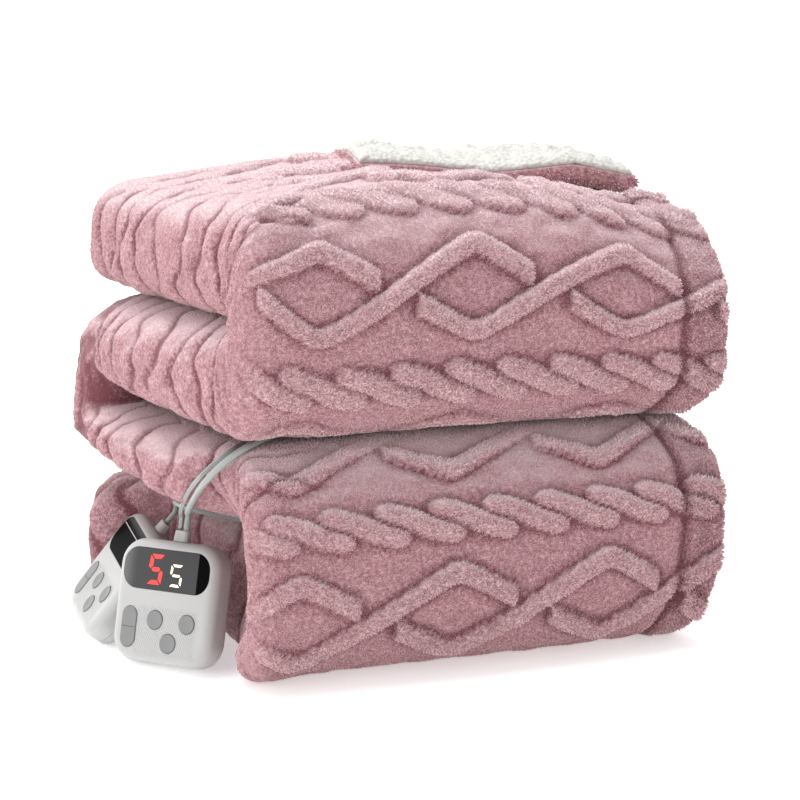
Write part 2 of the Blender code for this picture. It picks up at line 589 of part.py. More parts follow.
def lining_mesh(under):
    """The sherpa on the turned-back edge, a thin layer just off the back of the cloth."""
    rows = under[1:].copy()
    rows[:, 0] += (rows[:, 1] - rows[:, 0]) * LINING_INSET
    rows[:, -1] += (rows[:, -2] - rows[:, -1]) * LINING_INSET
    rows[-1] += (rows[-2] - rows[-1]) * 0.5
    along = np.gradient(rows, axis=0)
    across = np.gradient(rows, axis=1)
    normal = np.cross(along, across)
    normal /= np.linalg.norm(normal, axis=-1, keepdims=True)
    if normal[-1, 0, 2] < 0:
        normal = -normal
    shell = Shell()
    count = range(len(rows))
    inner = shell.add_grid(rows + normal * LINING_GAP, count)
    outer = shell.add_grid(rows + normal * (LINING_GAP + LINING_THICK), count)
    for side in (inner, outer):
        for first, second in zip(side[:-1], side[1:]):
            shell.add_band([first[i] for i in count], [second[i] for i in count])
    for j in (0, -1):
        shell.add_band([inner[j][i] for i in count], [outer[j][i] for i in count])
    for i in (0, len(rows) - 1):
        shell.add_band([column[i] for column in inner], [column[i] for column in outer])
    return shell.mesh("sherpa_lining")


def material(name, colour, roughness):
    """A plain plastic or cloth finish."""
    finish = bpy.data.materials.new(name)
    finish.use_nodes = True
    shader = finish.node_tree.nodes["Principled BSDF"]
    shader.inputs["Base Color"].default_value = (*colour, 1.0)
    shader.inputs["Roughness"].default_value = roughness
    shader.inputs["Metallic"].default_value = 0.0
    return finish


def add_object(name, data, finish, parent=None):
    """Put one piece in the scene."""
    piece = bpy.data.objects.new(name, data)
    piece.data.materials.append(finish)
    bpy.context.scene.collection.objects.link(piece)
    piece.parent = parent
    return piece


def oblong(width, height, corner, inset=0.0, centre=(0.0, 0.0), steps=CORNER_STEPS):
    """Outline of a rectangle with round corners, counter-clockwise."""
    radius = max(corner - inset, 0.0005)
    outline = []
    for quarter in range(4):
        sign_x, sign_y = ((1, 1), (-1, 1), (-1, -1), (1, -1))[quarter]
        middle_x = centre[0] + sign_x * (width / 2 - inset - radius)
        middle_y = centre[1] + sign_y * (height / 2 - inset - radius)
        for i in range(steps + 1):
            angle = math.radians(90 * quarter + 90 * i / steps)
            outline.append((middle_x + radius * math.cos(angle), middle_y + radius * math.sin(angle)))
    return outline


def lofted(name, rings):
    """A closed mesh through outlines of equal length, each at its own z."""
    shell = Shell()
    previous = None
    for z, outline in rings:
        ring = [shell.add_point((x, y, z)) for x, y in outline]
        if previous is None:
            shell.add_face(*ring[::-1])
        else:
            shell.add_band(previous + previous[:1], ring + ring[:1])
        previous = ring
    shell.add_face(*previous)
    return shell.mesh(name)


def rounded_rings(z_edge, z_face, width, height, corner, edge, steps=3):
    """Rings of a box from a flat end at z_edge to a face whose rim is rounded."""
    direction = 1.0 if z_face > z_edge else -1.0
    rings = [(z_edge, oblong(width, height, corner))]
    for i in range(steps + 1):
        angle = math.pi / 2 * i / steps
        z = z_face - direction * edge * (1.0 - math.sin(angle))
        rings.append((z, oblong(width, height, corner, edge * (1.0 - math.cos(angle)))))
    return rings if direction > 0 else rings[::-1]


def cut(piece, cutter_mesh, parent):
    """Take a pocket out of a piece."""
    cutter = bpy.data.objects.new(cutter_mesh.name, cutter_mesh)
    bpy.context.scene.collection.objects.link(cutter)
    cutter.parent = parent
    cutter.hide_render = True
    cutter.display_type = "WIRE"
    pocket = piece.modifiers.new(cutter_mesh.name, "BOOLEAN")
    pocket.operation = "DIFFERENCE"
    pocket.object = cutter


def controller_frame(place_):
    """Where a controller stands: turned, leant back and rolled, its lowest edge on the floor."""
    turn, lean, roll = (math.radians(place_[key]) for key in ("turn", "lean", "roll"))
    facing = Vector((math.sin(turn), -math.cos(turn), 0.0))
    right = Vector((math.cos(turn), math.sin(turn), 0.0))
    up = Vector((0.0, 0.0, 1.0)) * math.cos(lean) - facing * math.sin(lean)
    normal = facing * math.cos(lean) + Vector((0.0, 0.0, 1.0)) * math.sin(lean)
    right, up = (right * math.cos(roll) + up * math.sin(roll),
                 up * math.cos(roll) - right * math.sin(roll))
    turned = Matrix((right, up, normal)).transposed().to_4x4()
    rings = rounded_rings(0.0, BODY_DEPTH / 2, BODY_WIDTH, BODY_HEIGHT, BODY_CORNER, BODY_EDGE)
    rings += rounded_rings(0.0, -BODY_DEPTH / 2, BODY_WIDTH, BODY_HEIGHT, BODY_CORNER, BODY_EDGE)
    lowest = min((turned @ Vector((x, y, z))).z for z, outline in rings for x, y in outline)
    foot = Vector((*place_["foot"], 0.0))
    centre = foot + up * (BODY_HEIGHT / 2) - normal * (BODY_DEPTH / 2)
    return Matrix.Translation((centre.x, centre.y, -lowest)) @ turned


def key_rings(outline_at, rim, proud):
    """Rings of a key from its foot to its slightly dished top."""
    face = BODY_DEPTH / 2
    foot = face + proud - KEY_HEIGHT
    return [
        (foot, outline_at(0.0)),
        (face + proud - rim, outline_at(0.0)),
        (face + proud, outline_at(rim)),
        (face + proud - KEY_DISH, outline_at(rim * 4)),
    ]


def add_controller(name, place_, finishes):
    """One controller: two shells, the display, the lead's collar and four keys."""
    frame = bpy.data.objects.new(name, None)
    frame.matrix_world = controller_frame(place_)
    bpy.context.scene.collection.objects.link(frame)
    face, back = BODY_DEPTH / 2, -BODY_DEPTH / 2
    seam = back + SEAM_DEPTH
    size = (BODY_WIDTH, BODY_HEIGHT, BODY_CORNER, BODY_EDGE)

    front = add_object(f"{name}_front_shell", lofted(f"{name}_front_shell", rounded_rings(
        seam + TOUCH, face, *size)), finishes["housing"], frame)
    add_object(f"{name}_back_shell", lofted(f"{name}_back_shell", rounded_rings(
        seam, back, *size)), finishes["housing"], frame)

    window_centre = (0.0, WINDOW_Y)
    window = {"width": WINDOW_WIDTH, "height": WINDOW_HEIGHT, "corner": WINDOW_CORNER,
              "centre": window_centre}
    cut(front, lofted(f"{name}_window_pocket", [
        (face - WINDOW_DEPTH, oblong(**window)), (face + 0.01, oblong(**window))]), frame)
    add_object(f"{name}_display", lofted(f"{name}_display", [
        (face - WINDOW_DEPTH + TOUCH, oblong(inset=TOUCH, **window)),
        (face - TOUCH, oblong(inset=TOUCH, **window)),
        (face, oblong(inset=3 * TOUCH, **window))]), finishes["display"], frame)

    for key, spot in KEYS.items():
        centre = (spot["x"], spot["y"])
        wide = 2 * KEY_RADIUS

        def round_at(inset, wide=wide):
            return oblong(wide, wide, wide / 2, inset, steps=4)

        hole = oblong(wide + 2 * TOUCH, wide + 2 * TOUCH, wide / 2 + TOUCH, 0.0, centre, 4)
        cut(front, lofted(f"{name}_{key}_pocket", [
            (face - POCKET_DEPTH, hole), (face + 0.01, hole)]), frame)
        piece = add_object(f"{name}_{key}", lofted(f"{name}_{key}", key_rings(
            round_at, KEY_RIM, KEY_PROUD)), finishes["keys"], frame)
        piece.location = (*centre, 0.0)

    centre = (ROCKER["x"], ROCKER["y"])
    width, height = ROCKER["width"], ROCKER["height"]

    def rocker_at(inset):
        return oblong(width, height, width / 2, inset, steps=4)

    hole = oblong(width + 2 * TOUCH, height + 2 * ROCKER_CLEAR, width / 2 + TOUCH, 0.0, centre, 4)
    cut(front, lofted(f"{name}_rocker_pocket", [
        (face - POCKET_DEPTH, hole), (face + 0.01, hole)]), frame)
    rocker = add_object(f"{name}_rocker", lofted(f"{name}_rocker", [
        (face + KEY_PROUD - ROCKER_HEIGHT, rocker_at(0.0)),
        (face + KEY_PROUD - KEY_RIM, rocker_at(0.0)),
        (face + KEY_PROUD, rocker_at(KEY_RIM))]), finishes["keys"], frame)
    rocker.location = (*centre, 0.0)

    collar_low = BODY_HEIGHT / 2 + TOUCH
    collar = add_object(f"{name}_collar", lofted(f"{name}_collar", [
        (0.0, oblong(COLLAR["width"], COLLAR["depth"], COLLAR["corner"], steps=3)),
        (COLLAR["height"], oblong(COLLAR_TOP["width"], COLLAR_TOP["depth"],
                                  COLLAR_TOP["corner"], steps=3))]), finishes["housing"], frame)
    collar.matrix_local = (Matrix.Translation((COLLAR["x"], collar_low, 0.0))
                           @ Matrix.Rotation(-math.pi / 2, 4, "X"))
    return frame


def smooth_route(points, spacing):
    """Evenly spaced points on one smooth curve through the route's own points."""
    knots = [Vector(point) for point in points]
    padded = [2 * knots[0] - knots[1]] + knots + [2 * knots[-1] - knots[-2]]
    dense = []
    for before, start, end, after in zip(padded, padded[1:], padded[2:], padded[3:]):
        for i in range(24):
            t = i / 24
            dense.append(0.5 * (2 * start + (end - before) * t
                                + (2 * before - 5 * start + 4 * end - after) * t ** 2
                                + (3 * start - before - 3 * end + after) * t ** 3))
    dense.append(knots[-1])
    lengths = [0.0]
    for first, second in zip(dense[:-1], dense[1:]):
        lengths.append(lengths[-1] + (second - first).length)
    count = max(4, round(lengths[-1] / spacing))
    wanted = np.linspace(0.0, lengths[-1], count + 1)
    xyz = [np.interp(wanted, lengths, [point[k] for point in dense]) for k in range(3)]
    return list(zip(*xyz))


def add_lead(name, lead, frame, finish):
    """A lead's tube from its collar into the gap between the bundles, and its hank."""
    radius = lead["diameter"] / 2
    top = BODY_HEIGHT / 2 + TOUCH + COLLAR["height"] + TOUCH
    start = frame @ Vector((COLLAR["x"] + lead["offset"], top, 0.0))
    straight = frame @ Vector((COLLAR["x"] + lead["offset"], top + STUB * lead["diameter"], 0.0))
    hank = HANKS[name]
    low = hank["on"] + hank["gap"] / 2 - radius
    middle = low + radius
    outside = hank["width"] / 2
    entry_x = hank["x"] - outside + radius
    entry_y = hank["y"] - hank["straight"] / 2
    miss = math.sqrt(outside ** 2 - (outside - 2 * radius) ** 2) + 4 * TOUCH
    inside = [(x, y, middle) for x, y in lead["inside"]]
    inside += [(entry_x, entry_y - miss - APPROACH, middle), (entry_x, entry_y - miss, middle)]
    inside = [tuple(point) for point in settle(np.array(inside))]
    route = [start, start.lerp(straight, 0.5), straight, *lead["route"], *inside]
    curve = bpy.data.curves.new(name, "CURVE")
    curve.dimensions = "3D"
    curve.bevel_depth = radius
    curve.bevel_resolution = LEAD_SIDES
    curve.use_fill_caps = True
    curve.resolution_u = 1
    curve.render_resolution_u = 0
    points = smooth_route(route, 2.4 * lead["diameter"])
    spline = curve.splines.new("POLY")
    spline.points.add(len(points) - 1)
    for knot, point in zip(spline.points, points):
        knot.co = (*point, 1.0)
    add_object(name, curve, finish)

    outline = []
    for end, sign in ((1, 1.0), (0, -1.0)):
        for i in range(9):
            angle = math.pi * (i / 8 + (0 if end else 1))
            outline.append((hank["x"] + outside * math.cos(angle),
                            hank["y"] + sign * hank["straight"] / 2 + outside * math.sin(angle)))
    data = lofted(f"{name}_hank", [(low, outline), (low + lead["diameter"], outline)])
    for vertex in data.vertices:
        vertex.co = settle(np.array([vertex.co]))[0]
    add_object(f"{name}_hank", data, finish)


def main():
    for piece in list(bpy.data.objects):
        bpy.data.objects.remove(piece, do_unlink=True)
    finishes = {
        "plush": material("rose_plush", (0.50, 0.27, 0.30), 0.9),
        "sherpa": material("white_sherpa", (0.85, 0.84, 0.79), 0.95),
        "housing": material("light_grey_plastic", (0.60, 0.60, 0.60), 0.45),
        "keys": material("mid_grey_plastic", (0.33, 0.33, 0.33), 0.5),
        "display": material("smoked_display", (0.03, 0.03, 0.03), 0.15),
        "lead": material("grey_lead", (0.55, 0.55, 0.55), 0.5),
    }
    cloth, under = blanket_mesh()
    add_object("blanket_cloth", cloth, finishes["plush"])
    add_object("sherpa_lining", lining_mesh(under), finishes["sherpa"])
    frames = {name: add_controller(name, spot, finishes) for name, spot in CONTROLLERS.items()}
    bpy.context.view_layer.update()
    for name, lead in LEADS.items():
        add_lead(name, lead, frames[lead["from"]].matrix_world, finishes["lead"])
    for piece in bpy.data.objects:
        if piece.parent is None:
            piece.location -= Vector(MIDDLE)


main()
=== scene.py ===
import math

import bmesh
import bpy
import numpy as np
from mathutils import Matrix, Vector


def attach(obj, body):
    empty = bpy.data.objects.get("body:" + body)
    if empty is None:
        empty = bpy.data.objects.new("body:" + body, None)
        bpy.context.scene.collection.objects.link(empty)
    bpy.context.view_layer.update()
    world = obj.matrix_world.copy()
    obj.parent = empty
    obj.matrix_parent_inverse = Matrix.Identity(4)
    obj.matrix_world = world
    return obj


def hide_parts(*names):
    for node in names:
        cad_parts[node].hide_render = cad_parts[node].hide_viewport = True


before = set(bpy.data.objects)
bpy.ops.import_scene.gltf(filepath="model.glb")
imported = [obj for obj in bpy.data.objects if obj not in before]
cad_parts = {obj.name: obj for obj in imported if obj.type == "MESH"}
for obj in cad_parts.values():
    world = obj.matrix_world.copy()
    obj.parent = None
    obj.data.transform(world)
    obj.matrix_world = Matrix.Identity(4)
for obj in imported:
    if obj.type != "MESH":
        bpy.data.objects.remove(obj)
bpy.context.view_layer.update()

# A folded heated blanket with two controllers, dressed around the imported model.
# Lengths are in metres. The cloth and the leads' places are worked out from the
# front left corner of the stack and moved at the end, as in the part's source.

middle = np.array([0.190, 0.155, 0.0])      # of the stack, which is the frame's origin


# --- the camera and the light

photoView = {"turn": -23.0, "lift": 12.5, "distance": 2.6, "lookAt": (0.0, -0.005, 0.18), "lens": 151.2,
             "sensor": 36.0}
studio = {"world": 0.50, "floor": 0.90, "glow": 0.42, "rough": 0.9, "wallGlow": 1.0,
          "half": 30.0, "wallAt": 9.0, "wall": (-1.0, 20.0), "aim": (0.0, 0.0, 0.16),
          "top": {"power": 62.0, "at": (-0.45, 0.25, 2.5), "size": 1.5},
          "left": {"power": 15.0, "at": (-2.1, -0.9, 1.0), "size": 1.3},
          "front": {"power": 13.0, "at": (0.9, -2.5, 0.9), "size": 2.0}}


def makeCamera():
    turn, lift = math.radians(photoView["turn"]), math.radians(photoView["lift"])
    back = Vector((math.sin(turn) * math.cos(lift), -math.cos(turn) * math.cos(lift), math.sin(lift)))
    right = Vector((math.cos(turn), math.sin(turn), 0.0))
    data = bpy.data.cameras.new("photoCamera")
    data.sensor_width = photoView["sensor"]
    data.lens = photoView["lens"]
    camera = bpy.data.objects.new("photoCamera", data)
    turned = Matrix((right, back.cross(right), back)).transposed().to_4x4()
    place = Vector(photoView["lookAt"]) + back * photoView["distance"]
    camera.matrix_world = Matrix.Translation(place) @ turned
    bpy.context.scene.collection.objects.link(camera)
    bpy.context.scene.camera = camera


def makeLamp(name, power, place, size):
    data = bpy.data.lights.new(name, "AREA")
    data.energy = power
    data.size = size
    lamp = bpy.data.objects.new(name, data)
    lamp.location = place
    lamp.rotation_euler = (Vector(studio["aim"]) - Vector(place)).to_track_quat("-Z", "Y").to_euler()
    bpy.context.scene.collection.objects.link(lamp)


def studioSheet(name, corners, **sockets):
    # A flat sheet of the set, with its shader's sockets by name.
    finish = bpy.data.materials.new(name)
    finish.use_nodes = True
    shader = finish.node_tree.nodes["Principled BSDF"]
    for socket, value in sockets.items():
        shader.inputs[socket.replace("_", " ")].default_value = value
    data = bpy.data.meshes.new(name)
    data.from_pydata(corners, [], [(0, 1, 2, 3)])
    data.materials.append(finish)
    sheet = bpy.data.objects.new(name, data)
    bpy.context.scene.collection.objects.link(sheet)
    return sheet


def makeStudio():
    white = (1.0, 1.0, 1.0, 1.0)
    world = bpy.data.worlds.new("studioWorld")
    world.use_nodes = True
    background = world.node_tree.nodes["Background"]
    background.inputs["Color"].default_value = white
    background.inputs["Strength"].default_value = studio["world"]
    bpy.context.scene.world = world
    for name in ("top", "left", "front"):
        makeLamp(f"{name}Lamp", studio[name]["power"], studio[name]["at"], studio[name]["size"])
    half, back, (low, high) = studio["half"], studio["wallAt"], studio["wall"]
    floor = studioSheet("studioFloor", [(-half, -half, 0), (half, -half, 0), (half, half, 0), (-half, half, 0)],
                        Base_Color=(studio["floor"],) * 3 + (1.0,), Roughness=studio["rough"],
                        Emission_Color=white, Emission_Strength=studio["glow"])
    wall = studioSheet("studioWall", [(-half, back, low), (half, back, low), (half, back, high), (-half, back, high)],
                       Emission_Color=white, Emission_Strength=studio["wallGlow"])
    bpy.context.scene.view_settings.view_transform = "Standard"


makeCamera()
makeStudio()
print("camera and light are set")


# --- shader maths

class Wire:
    # A socket or a number that Python's own operators join with Math nodes.
    def __init__(self, tree, value):
        self.tree = tree
        self.value = value

    def join(self, kind, *others, flip=False):
        given = [self, *others]
        if flip:
            given.reverse()
        node = self.tree.nodes.new("ShaderNodeMath")
        node.operation = kind
        for socket, item in zip(node.inputs, given):
            value = item.value if isinstance(item, Wire) else item
            if isinstance(value, (int, float)):
                socket.default_value = value
            else:
                self.tree.links.new(value, socket)
        return Wire(self.tree, node.outputs[0])

    def __add__(self, other): return self.join("ADD", other)
    def __radd__(self, other): return self.join("ADD", other)
    def __sub__(self, other): return self.join("SUBTRACT", other)
    def __rsub__(self, other): return self.join("SUBTRACT", other, flip=True)
    def __mul__(self, other): return self.join("MULTIPLY", other)
    def __rmul__(self, other): return self.join("MULTIPLY", other)

    def between(self, low, high):       # 0 to 1 as the value goes from low to high
        node = self.tree.nodes.new("ShaderNodeMapRange")
        node.interpolation_type = "SMOOTHSTEP"
        node.inputs["From Min"].default_value = low
        node.inputs["From Max"].default_value = high
        self.tree.links.new(self.value, node.inputs["Value"])
        return Wire(self.tree, node.outputs["Result"])


class Finish:
    # A material whose shader is set by name, and whose other nodes come from one call.
    def __init__(self, name, colour, roughness, **fixed):
        self.material = bpy.data.materials.new(name)
        self.material.use_nodes = True
        self.tree = self.material.node_tree
        self.shader = self.tree.nodes["Principled BSDF"]
        self.shader.inputs["Base Color"].default_value = (*colour, 1.0)
        self.shader.inputs["Roughness"].default_value = roughness
        for socket, value in fixed.items():
            self.shader.inputs[socket.replace("_", " ")].default_value = value

    def node(self, kind, settings=None, output=0, **sockets):
        made = self.tree.nodes.new(f"ShaderNode{kind}")
        for key, value in (settings or {}).items():
            setattr(made, key, value)
        for socket, value in sockets.items():
            self.put(made.inputs[socket.replace("_", " ")], value)
        return Wire(self.tree, made.outputs[output])

    def put(self, target, value):
        if isinstance(value, Wire):
            self.tree.links.new(value.value, target)
        elif isinstance(value, tuple) and target.type == "RGBA":
            target.default_value = (*value, 1.0)
        else:
            target.default_value = value

    def feed(self, socket, value):
        self.put(self.shader.inputs[socket], value)

    def place(self):
        return self.node("TexCoord", output="Object")

    def noise(self, scale, detail):
        return self.node("TexNoise", output="Fac", Vector=self.place(), Scale=scale, Detail=detail, Roughness=0.55)

    def number(self, name):
        return self.node("Attribute", {"attribute_name": name}, output="Fac")

    def mix(self, share, first, second):
        made = self.tree.nodes.new("ShaderNodeMix")
        made.data_type = "RGBA"
        made.clamp_factor = True
        for socket, value in ((made.inputs["Factor"], share), (made.inputs[6], first), (made.inputs[7], second)):
            self.put(socket, value)
        return Wire(self.tree, made.outputs[2])

    def bump(self, height, distance, strength):
        self.feed("Normal", self.node("Bump", Height=height, Distance=distance, Strength=strength))


def addPiece(name, data, finish, stands=(), body="blanket", smooth=False):
    # A finished mesh on its body, with its finish and the imported nodes that it stands for.
    piece = bpy.data.objects.new(name, data)
    if finish is not None:
        data.materials.clear()
        data.materials.append(finish)
    if smooth:
        data.polygons.foreach_set("use_smooth", [True] * len(data.polygons))
    bpy.context.scene.collection.objects.link(piece)
    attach(piece, body)
    if stands:
        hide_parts(*stands)
    return piece


def facesOut(data):
    shape = bmesh.new()
    shape.from_mesh(data)
    bmesh.ops.recalc_face_normals(shape, faces=shape.faces)
    shape.to_mesh(data)
    shape.free()
    return data


# --- how the cloth is folded, as in the part's source

fold = {"clothHalf": 0.0068, "plyPitch": 0.0183, "upperGap": 0.003, "lowerGap": 0.0062,
        "bundleGap": 0.0072, "width": 0.395, "innerFoldX": 0.383, "frontBendY": 0.072,
        "rearEnd": 0.280, "rearBendY": 0.240, "frontReach": 0.072, "rearReach": 0.062,
        "bendSquareness": 2.6, "leftSquareness": 2.7, "hemInset": 0.004,
        "edgeAtFront": 0.004, "squashAtFront": 0.55, "hemTip": 0.6, "frontEase": 0.16, "bendSteps": 1441}
layer = 4 * fold["plyPitch"] + 2 * fold["clothHalf"]
layer3 = layer + fold["lowerGap"]
layer2 = layer3 + layer + fold["bundleGap"]
layer1 = layer2 + layer + fold["upperGap"]

rowCounts = {"top": 128, "frontBend": 128, "hidden": 84, "rearBend": 84}
skipRows = {"top": 8, "frontBend": 8, "hidden": 21, "rearBend": 6}      # fine rows to a coarse one
columnCounts = {"top": 130, "left": 36, "under": 60, "inner": 3, "innerLeft": 6, "rightFold": 8,
                "liningTop": 26, "liningLeft": 11, "liningFold": 4}

sag = {"x": (0.0, 0.042, 0.160), "share": (1.0, 0.8, 0.0), "y": (0.02, 0.27),
       "z": (0.0, layer, layer3, layer3 + layer, layer2, layer1 - fold["upperGap"], layer1, 0.42),
       "drop": (0.0, -0.030, -0.036, 0.004, -0.003, 0.012, 0.012, 0.016)}
rightDroop = {"share": 0.040, "x": (0.160, 0.395)}
topSlope = {"right": 0.020, "rear": 0.006, "x": (0.22, fold["width"]), "y": (0.06, 0.28), "z": (0.20, 0.37)}
rightEnd = {"x": (0.27, 0.395), "z": (0.0, 0.05, 0.10, 0.15, 0.170, 0.181, 0.20, 0.22, 0.33, 0.37),
            "in": (0.022, 0.009, 0.003, 0.003, 0.010, 0.016, 0.006, 0.0, 0.0, 0.008)}
shoulder = {"back": 0.016, "down": 0.007, "x": (0.27, 0.40), "y": (0.0, 0.12), "z": (0.25, 0.36)}
sharpLeft = {"share": 0.5, "y": (0.07, 0.20), "x": (0.0, 0.09), "z": (0.0, 0.08), "low": 0.4}
pinch = {"rise": 0.018, "reach": 0.045, "z": 0.28, "height": 0.05}
bulge = {"x": (-0.02, 0.15), "y": (0.03, 0.22),
         "z": (0.0, 0.09, 0.135, 0.23, 0.32), "out": (0.026, 0.028, 0.036, 0.032, 0.020)}
press = {"in": 0.057, "x": (-0.03, 0.20), "rise": (0.0, 0.14), "fall": (0.24, 0.28),
         "z": (0.080, 0.190, 0.128), "quick": (0.112, 0.138)}       # makes room for the controllers and their leads
rearRise = {"up": -0.013, "x": 0.260, "reach": 0.075, "y": (0.09, 0.17), "z": (0.28, 0.36)}
corner = {"forward": 0.045, "x": (0.29, 0.395), "y": (0.14, 0.30), "z": (0.27, 0.34)}
wave = {"size": 0.003, "x": (19.0, 7.0), "y": (15.0, 11.0, 0.6)}
skirt = {"out": 0.014, "z": (0.012, 0.060), "rise": (0.02, 0.07), "fall": (0.10, 0.20), "x": (0.0, 0.16)}
lip = {"down": 0.0055, "x": (0.045, 0.085), "y": (0.050, 0.078),       # closes the crease between the bundles
       "z": (layer2 - 0.004, layer2 + 0.05)}


def smoothStep(value, low, high):
    t = np.clip((np.asarray(value, float) - low) / (high - low), 0.0, 1.0)
    return t * t * (3.0 - 2.0 * t)


def settle(points):
    # Moves points of the plain stack to where the sagging, leaning one has them.
    x, y, z = points[..., 0], points[..., 1], points[..., 2]
    nearLeft = np.interp(x, sag["x"], sag["share"])
    drop = np.interp(z, sag["z"], sag["drop"])
    leanRight = rightDroop["share"] * np.interp(x, rightDroop["x"], (0.0, 1.0))
    newZ = (z - nearLeft * smoothStep(y, *sag["y"]) * drop) * (1.0 - leanRight)
    upper = smoothStep(z, *topSlope["z"])
    newZ -= upper * topSlope["right"] * smoothStep(x, *topSlope["x"])
    newZ -= upper * topSlope["rear"] * smoothStep(y, *topSlope["y"])
    rise = rearRise["up"] * np.exp(-(((x - rearRise["x"]) / rearRise["reach"]) ** 2))
    newZ += rise * smoothStep(y, *rearRise["y"]) * smoothStep(z, *rearRise["z"])
    pinched = np.exp(-(x ** 2 + y ** 2) / pinch["reach"] ** 2)
    newZ += pinch["rise"] * pinched * np.exp(-(((z - pinch["z"]) / pinch["height"]) ** 2))
    out = np.interp(z, bulge["z"], bulge["out"]) * (1.0 - smoothStep(x, *bulge["x"]))
    out = out * smoothStep(y, *bulge["y"])
    low, far, near = press["z"]
    pressed = press["in"] * (1.0 - smoothStep(x, *press["x"]))
    pressed = pressed * (1.0 - smoothStep(z, low, far + (near - far) * smoothStep(y, *press["quick"])))
    pressed = pressed * smoothStep(y, *press["rise"]) * (1.0 - smoothStep(y, *press["fall"]))
    end = np.interp(z, rightEnd["z"], rightEnd["in"]) * smoothStep(x, *rightEnd["x"])
    (overZ, overY), (overX, alsoZ, phase) = wave["x"], wave["y"]
    newX = x - out + pressed - end + wave["size"] * np.sin(overZ * z + overY * y)
    spread = skirt["out"] * (1.0 - smoothStep(z, *skirt["z"])) * (1.0 - smoothStep(x, *skirt["x"]))
    newX = newX - spread * smoothStep(y, *skirt["rise"]) * (1.0 - smoothStep(y, *skirt["fall"]))
    cornerShare = smoothStep(x, *corner["x"]) * smoothStep(y, *corner["y"]) * smoothStep(z, *corner["z"])
    shoulderShare = smoothStep(x, *shoulder["x"]) * (1.0 - smoothStep(y, *shoulder["y"]))
    shoulderShare = shoulderShare * smoothStep(z, *shoulder["z"])
    newZ = newZ - shoulder["down"] * shoulderShare
    sharp = sharpLeft["share"] * (1.0 - smoothStep(y, *sharpLeft["y"]))
    sharp = sharp * (1.0 - smoothStep(x, *sharpLeft["x"]))
    sharp = sharp * (sharpLeft["low"] + (1.0 - sharpLeft["low"]) * smoothStep(z, *sharpLeft["z"]))
    newY = y * (1.0 - sharp * (y > 0)) - corner["forward"] * cornerShare
    newY = newY + shoulder["back"] * shoulderShare
    newY = newY + wave["size"] * np.sin(overX * x + alsoZ * z + phase)
    lipShare = smoothStep(x, *lip["x"]) * (1.0 - smoothStep(y, *lip["y"])) * (z > lip["z"][0])
    newZ = newZ - lip["down"] * lipShare * (1.0 - smoothStep(z, *lip["z"]))
    return np.stack((newX, newY, newZ), axis=-1)


def bendShape(t):
    power = 2.0 / fold["bendSquareness"]
    return np.abs(np.sin(t)) ** power, np.sign(np.cos(t)) * np.abs(np.cos(t)) ** power


def bendAngles(radius, reach, rows):
    t = np.linspace(0.0, math.pi, fold["bendSteps"])
    across, along = bendShape(t)
    step = np.hypot(np.diff(reach * across), np.diff(radius * along))
    length = np.concatenate(([0.0], np.cumsum(step)))
    return np.interp(np.linspace(0.0, length[-1], rows + 1), length, t)


def runRows():
    # Rows from the rear end of the top layer to that of the lowest one.
    heights = [low + layer / 2 for low in (layer1, layer2, layer3, 0.0)]
    rows = []

    def straight(part, kind, yFrom, yTo, z, up):
        count = rowCounts[kind]
        for i in range(count):
            y = yFrom + (yTo - yFrom) * i / count
            rows.append({"baseY": y, "baseZ": z, "out": 0.0, "up": up, "radius": 0.0, "turn": 1.0,
                         "front": 0.5 * (1.0 - float(smoothStep(y, fold["frontBendY"], fold["frontEase"]))),
                         "bend": 0.0, "kind": kind, "part": part, "coarse": i % skipRows[kind] == 0})

    def bend(part, kind, y, over, under, turn, reach):
        radius = (over - under) / 2
        outer = radius + layer / 2
        for i, t in enumerate(bendAngles(outer, reach, rowCounts[kind])[:-1]):
            across, along = bendShape(t)
            rows.append({"baseY": y, "baseZ": (over + under) / 2, "out": across * reach / outer * -turn,
                         "up": along, "radius": radius, "turn": turn,
                         "front": 0.5 + 0.5 * across if turn > 0 else 0.0,
                         "bend": across, "kind": kind, "part": part, "coarse": i % skipRows[kind] == 0})

    straight(0, "top", fold["rearEnd"], fold["frontBendY"], heights[0], 1.0)
    bend(1, "frontBend", fold["frontBendY"], heights[0], heights[1], 1.0, fold["frontReach"])
    straight(2, "hidden", fold["frontBendY"], fold["rearBendY"], heights[1], -1.0)
    bend(3, "rearBend", fold["rearBendY"], heights[1], heights[2], -1.0, fold["rearReach"])
    straight(4, "hidden", fold["rearBendY"], fold["frontBendY"], heights[2], 1.0)
    bend(5, "frontBend", fold["frontBendY"], heights[2], heights[3], 1.0, fold["frontReach"])
    straight(6, "hidden", fold["frontBendY"], fold["rearEnd"], heights[3], -1.0)
    rows.append(dict(rows[-1], baseY=fold["rearEnd"], front=0.0, coarse=True))
    run = {key: np.array([row[key] for row in rows]) for key in rows[0]}
    outer = placeInRun(run, 0.0, np.full((len(rows), 1), layer / 2))[:, 0]
    run["length"] = np.concatenate(([0.0], np.cumsum(np.linalg.norm(np.diff(outer, axis=0), axis=1))))
    return run


def placeInRun(run, x, n):
    r = run["radius"][:, None] + run["turn"][:, None] * n
    y = run["baseY"][:, None] + run["out"][:, None] * r
    z = run["baseZ"][:, None] + run["up"][:, None] * r
    return np.stack((np.broadcast_to(x, y.shape), y, z), axis=-1)


# --- the sculpted pattern

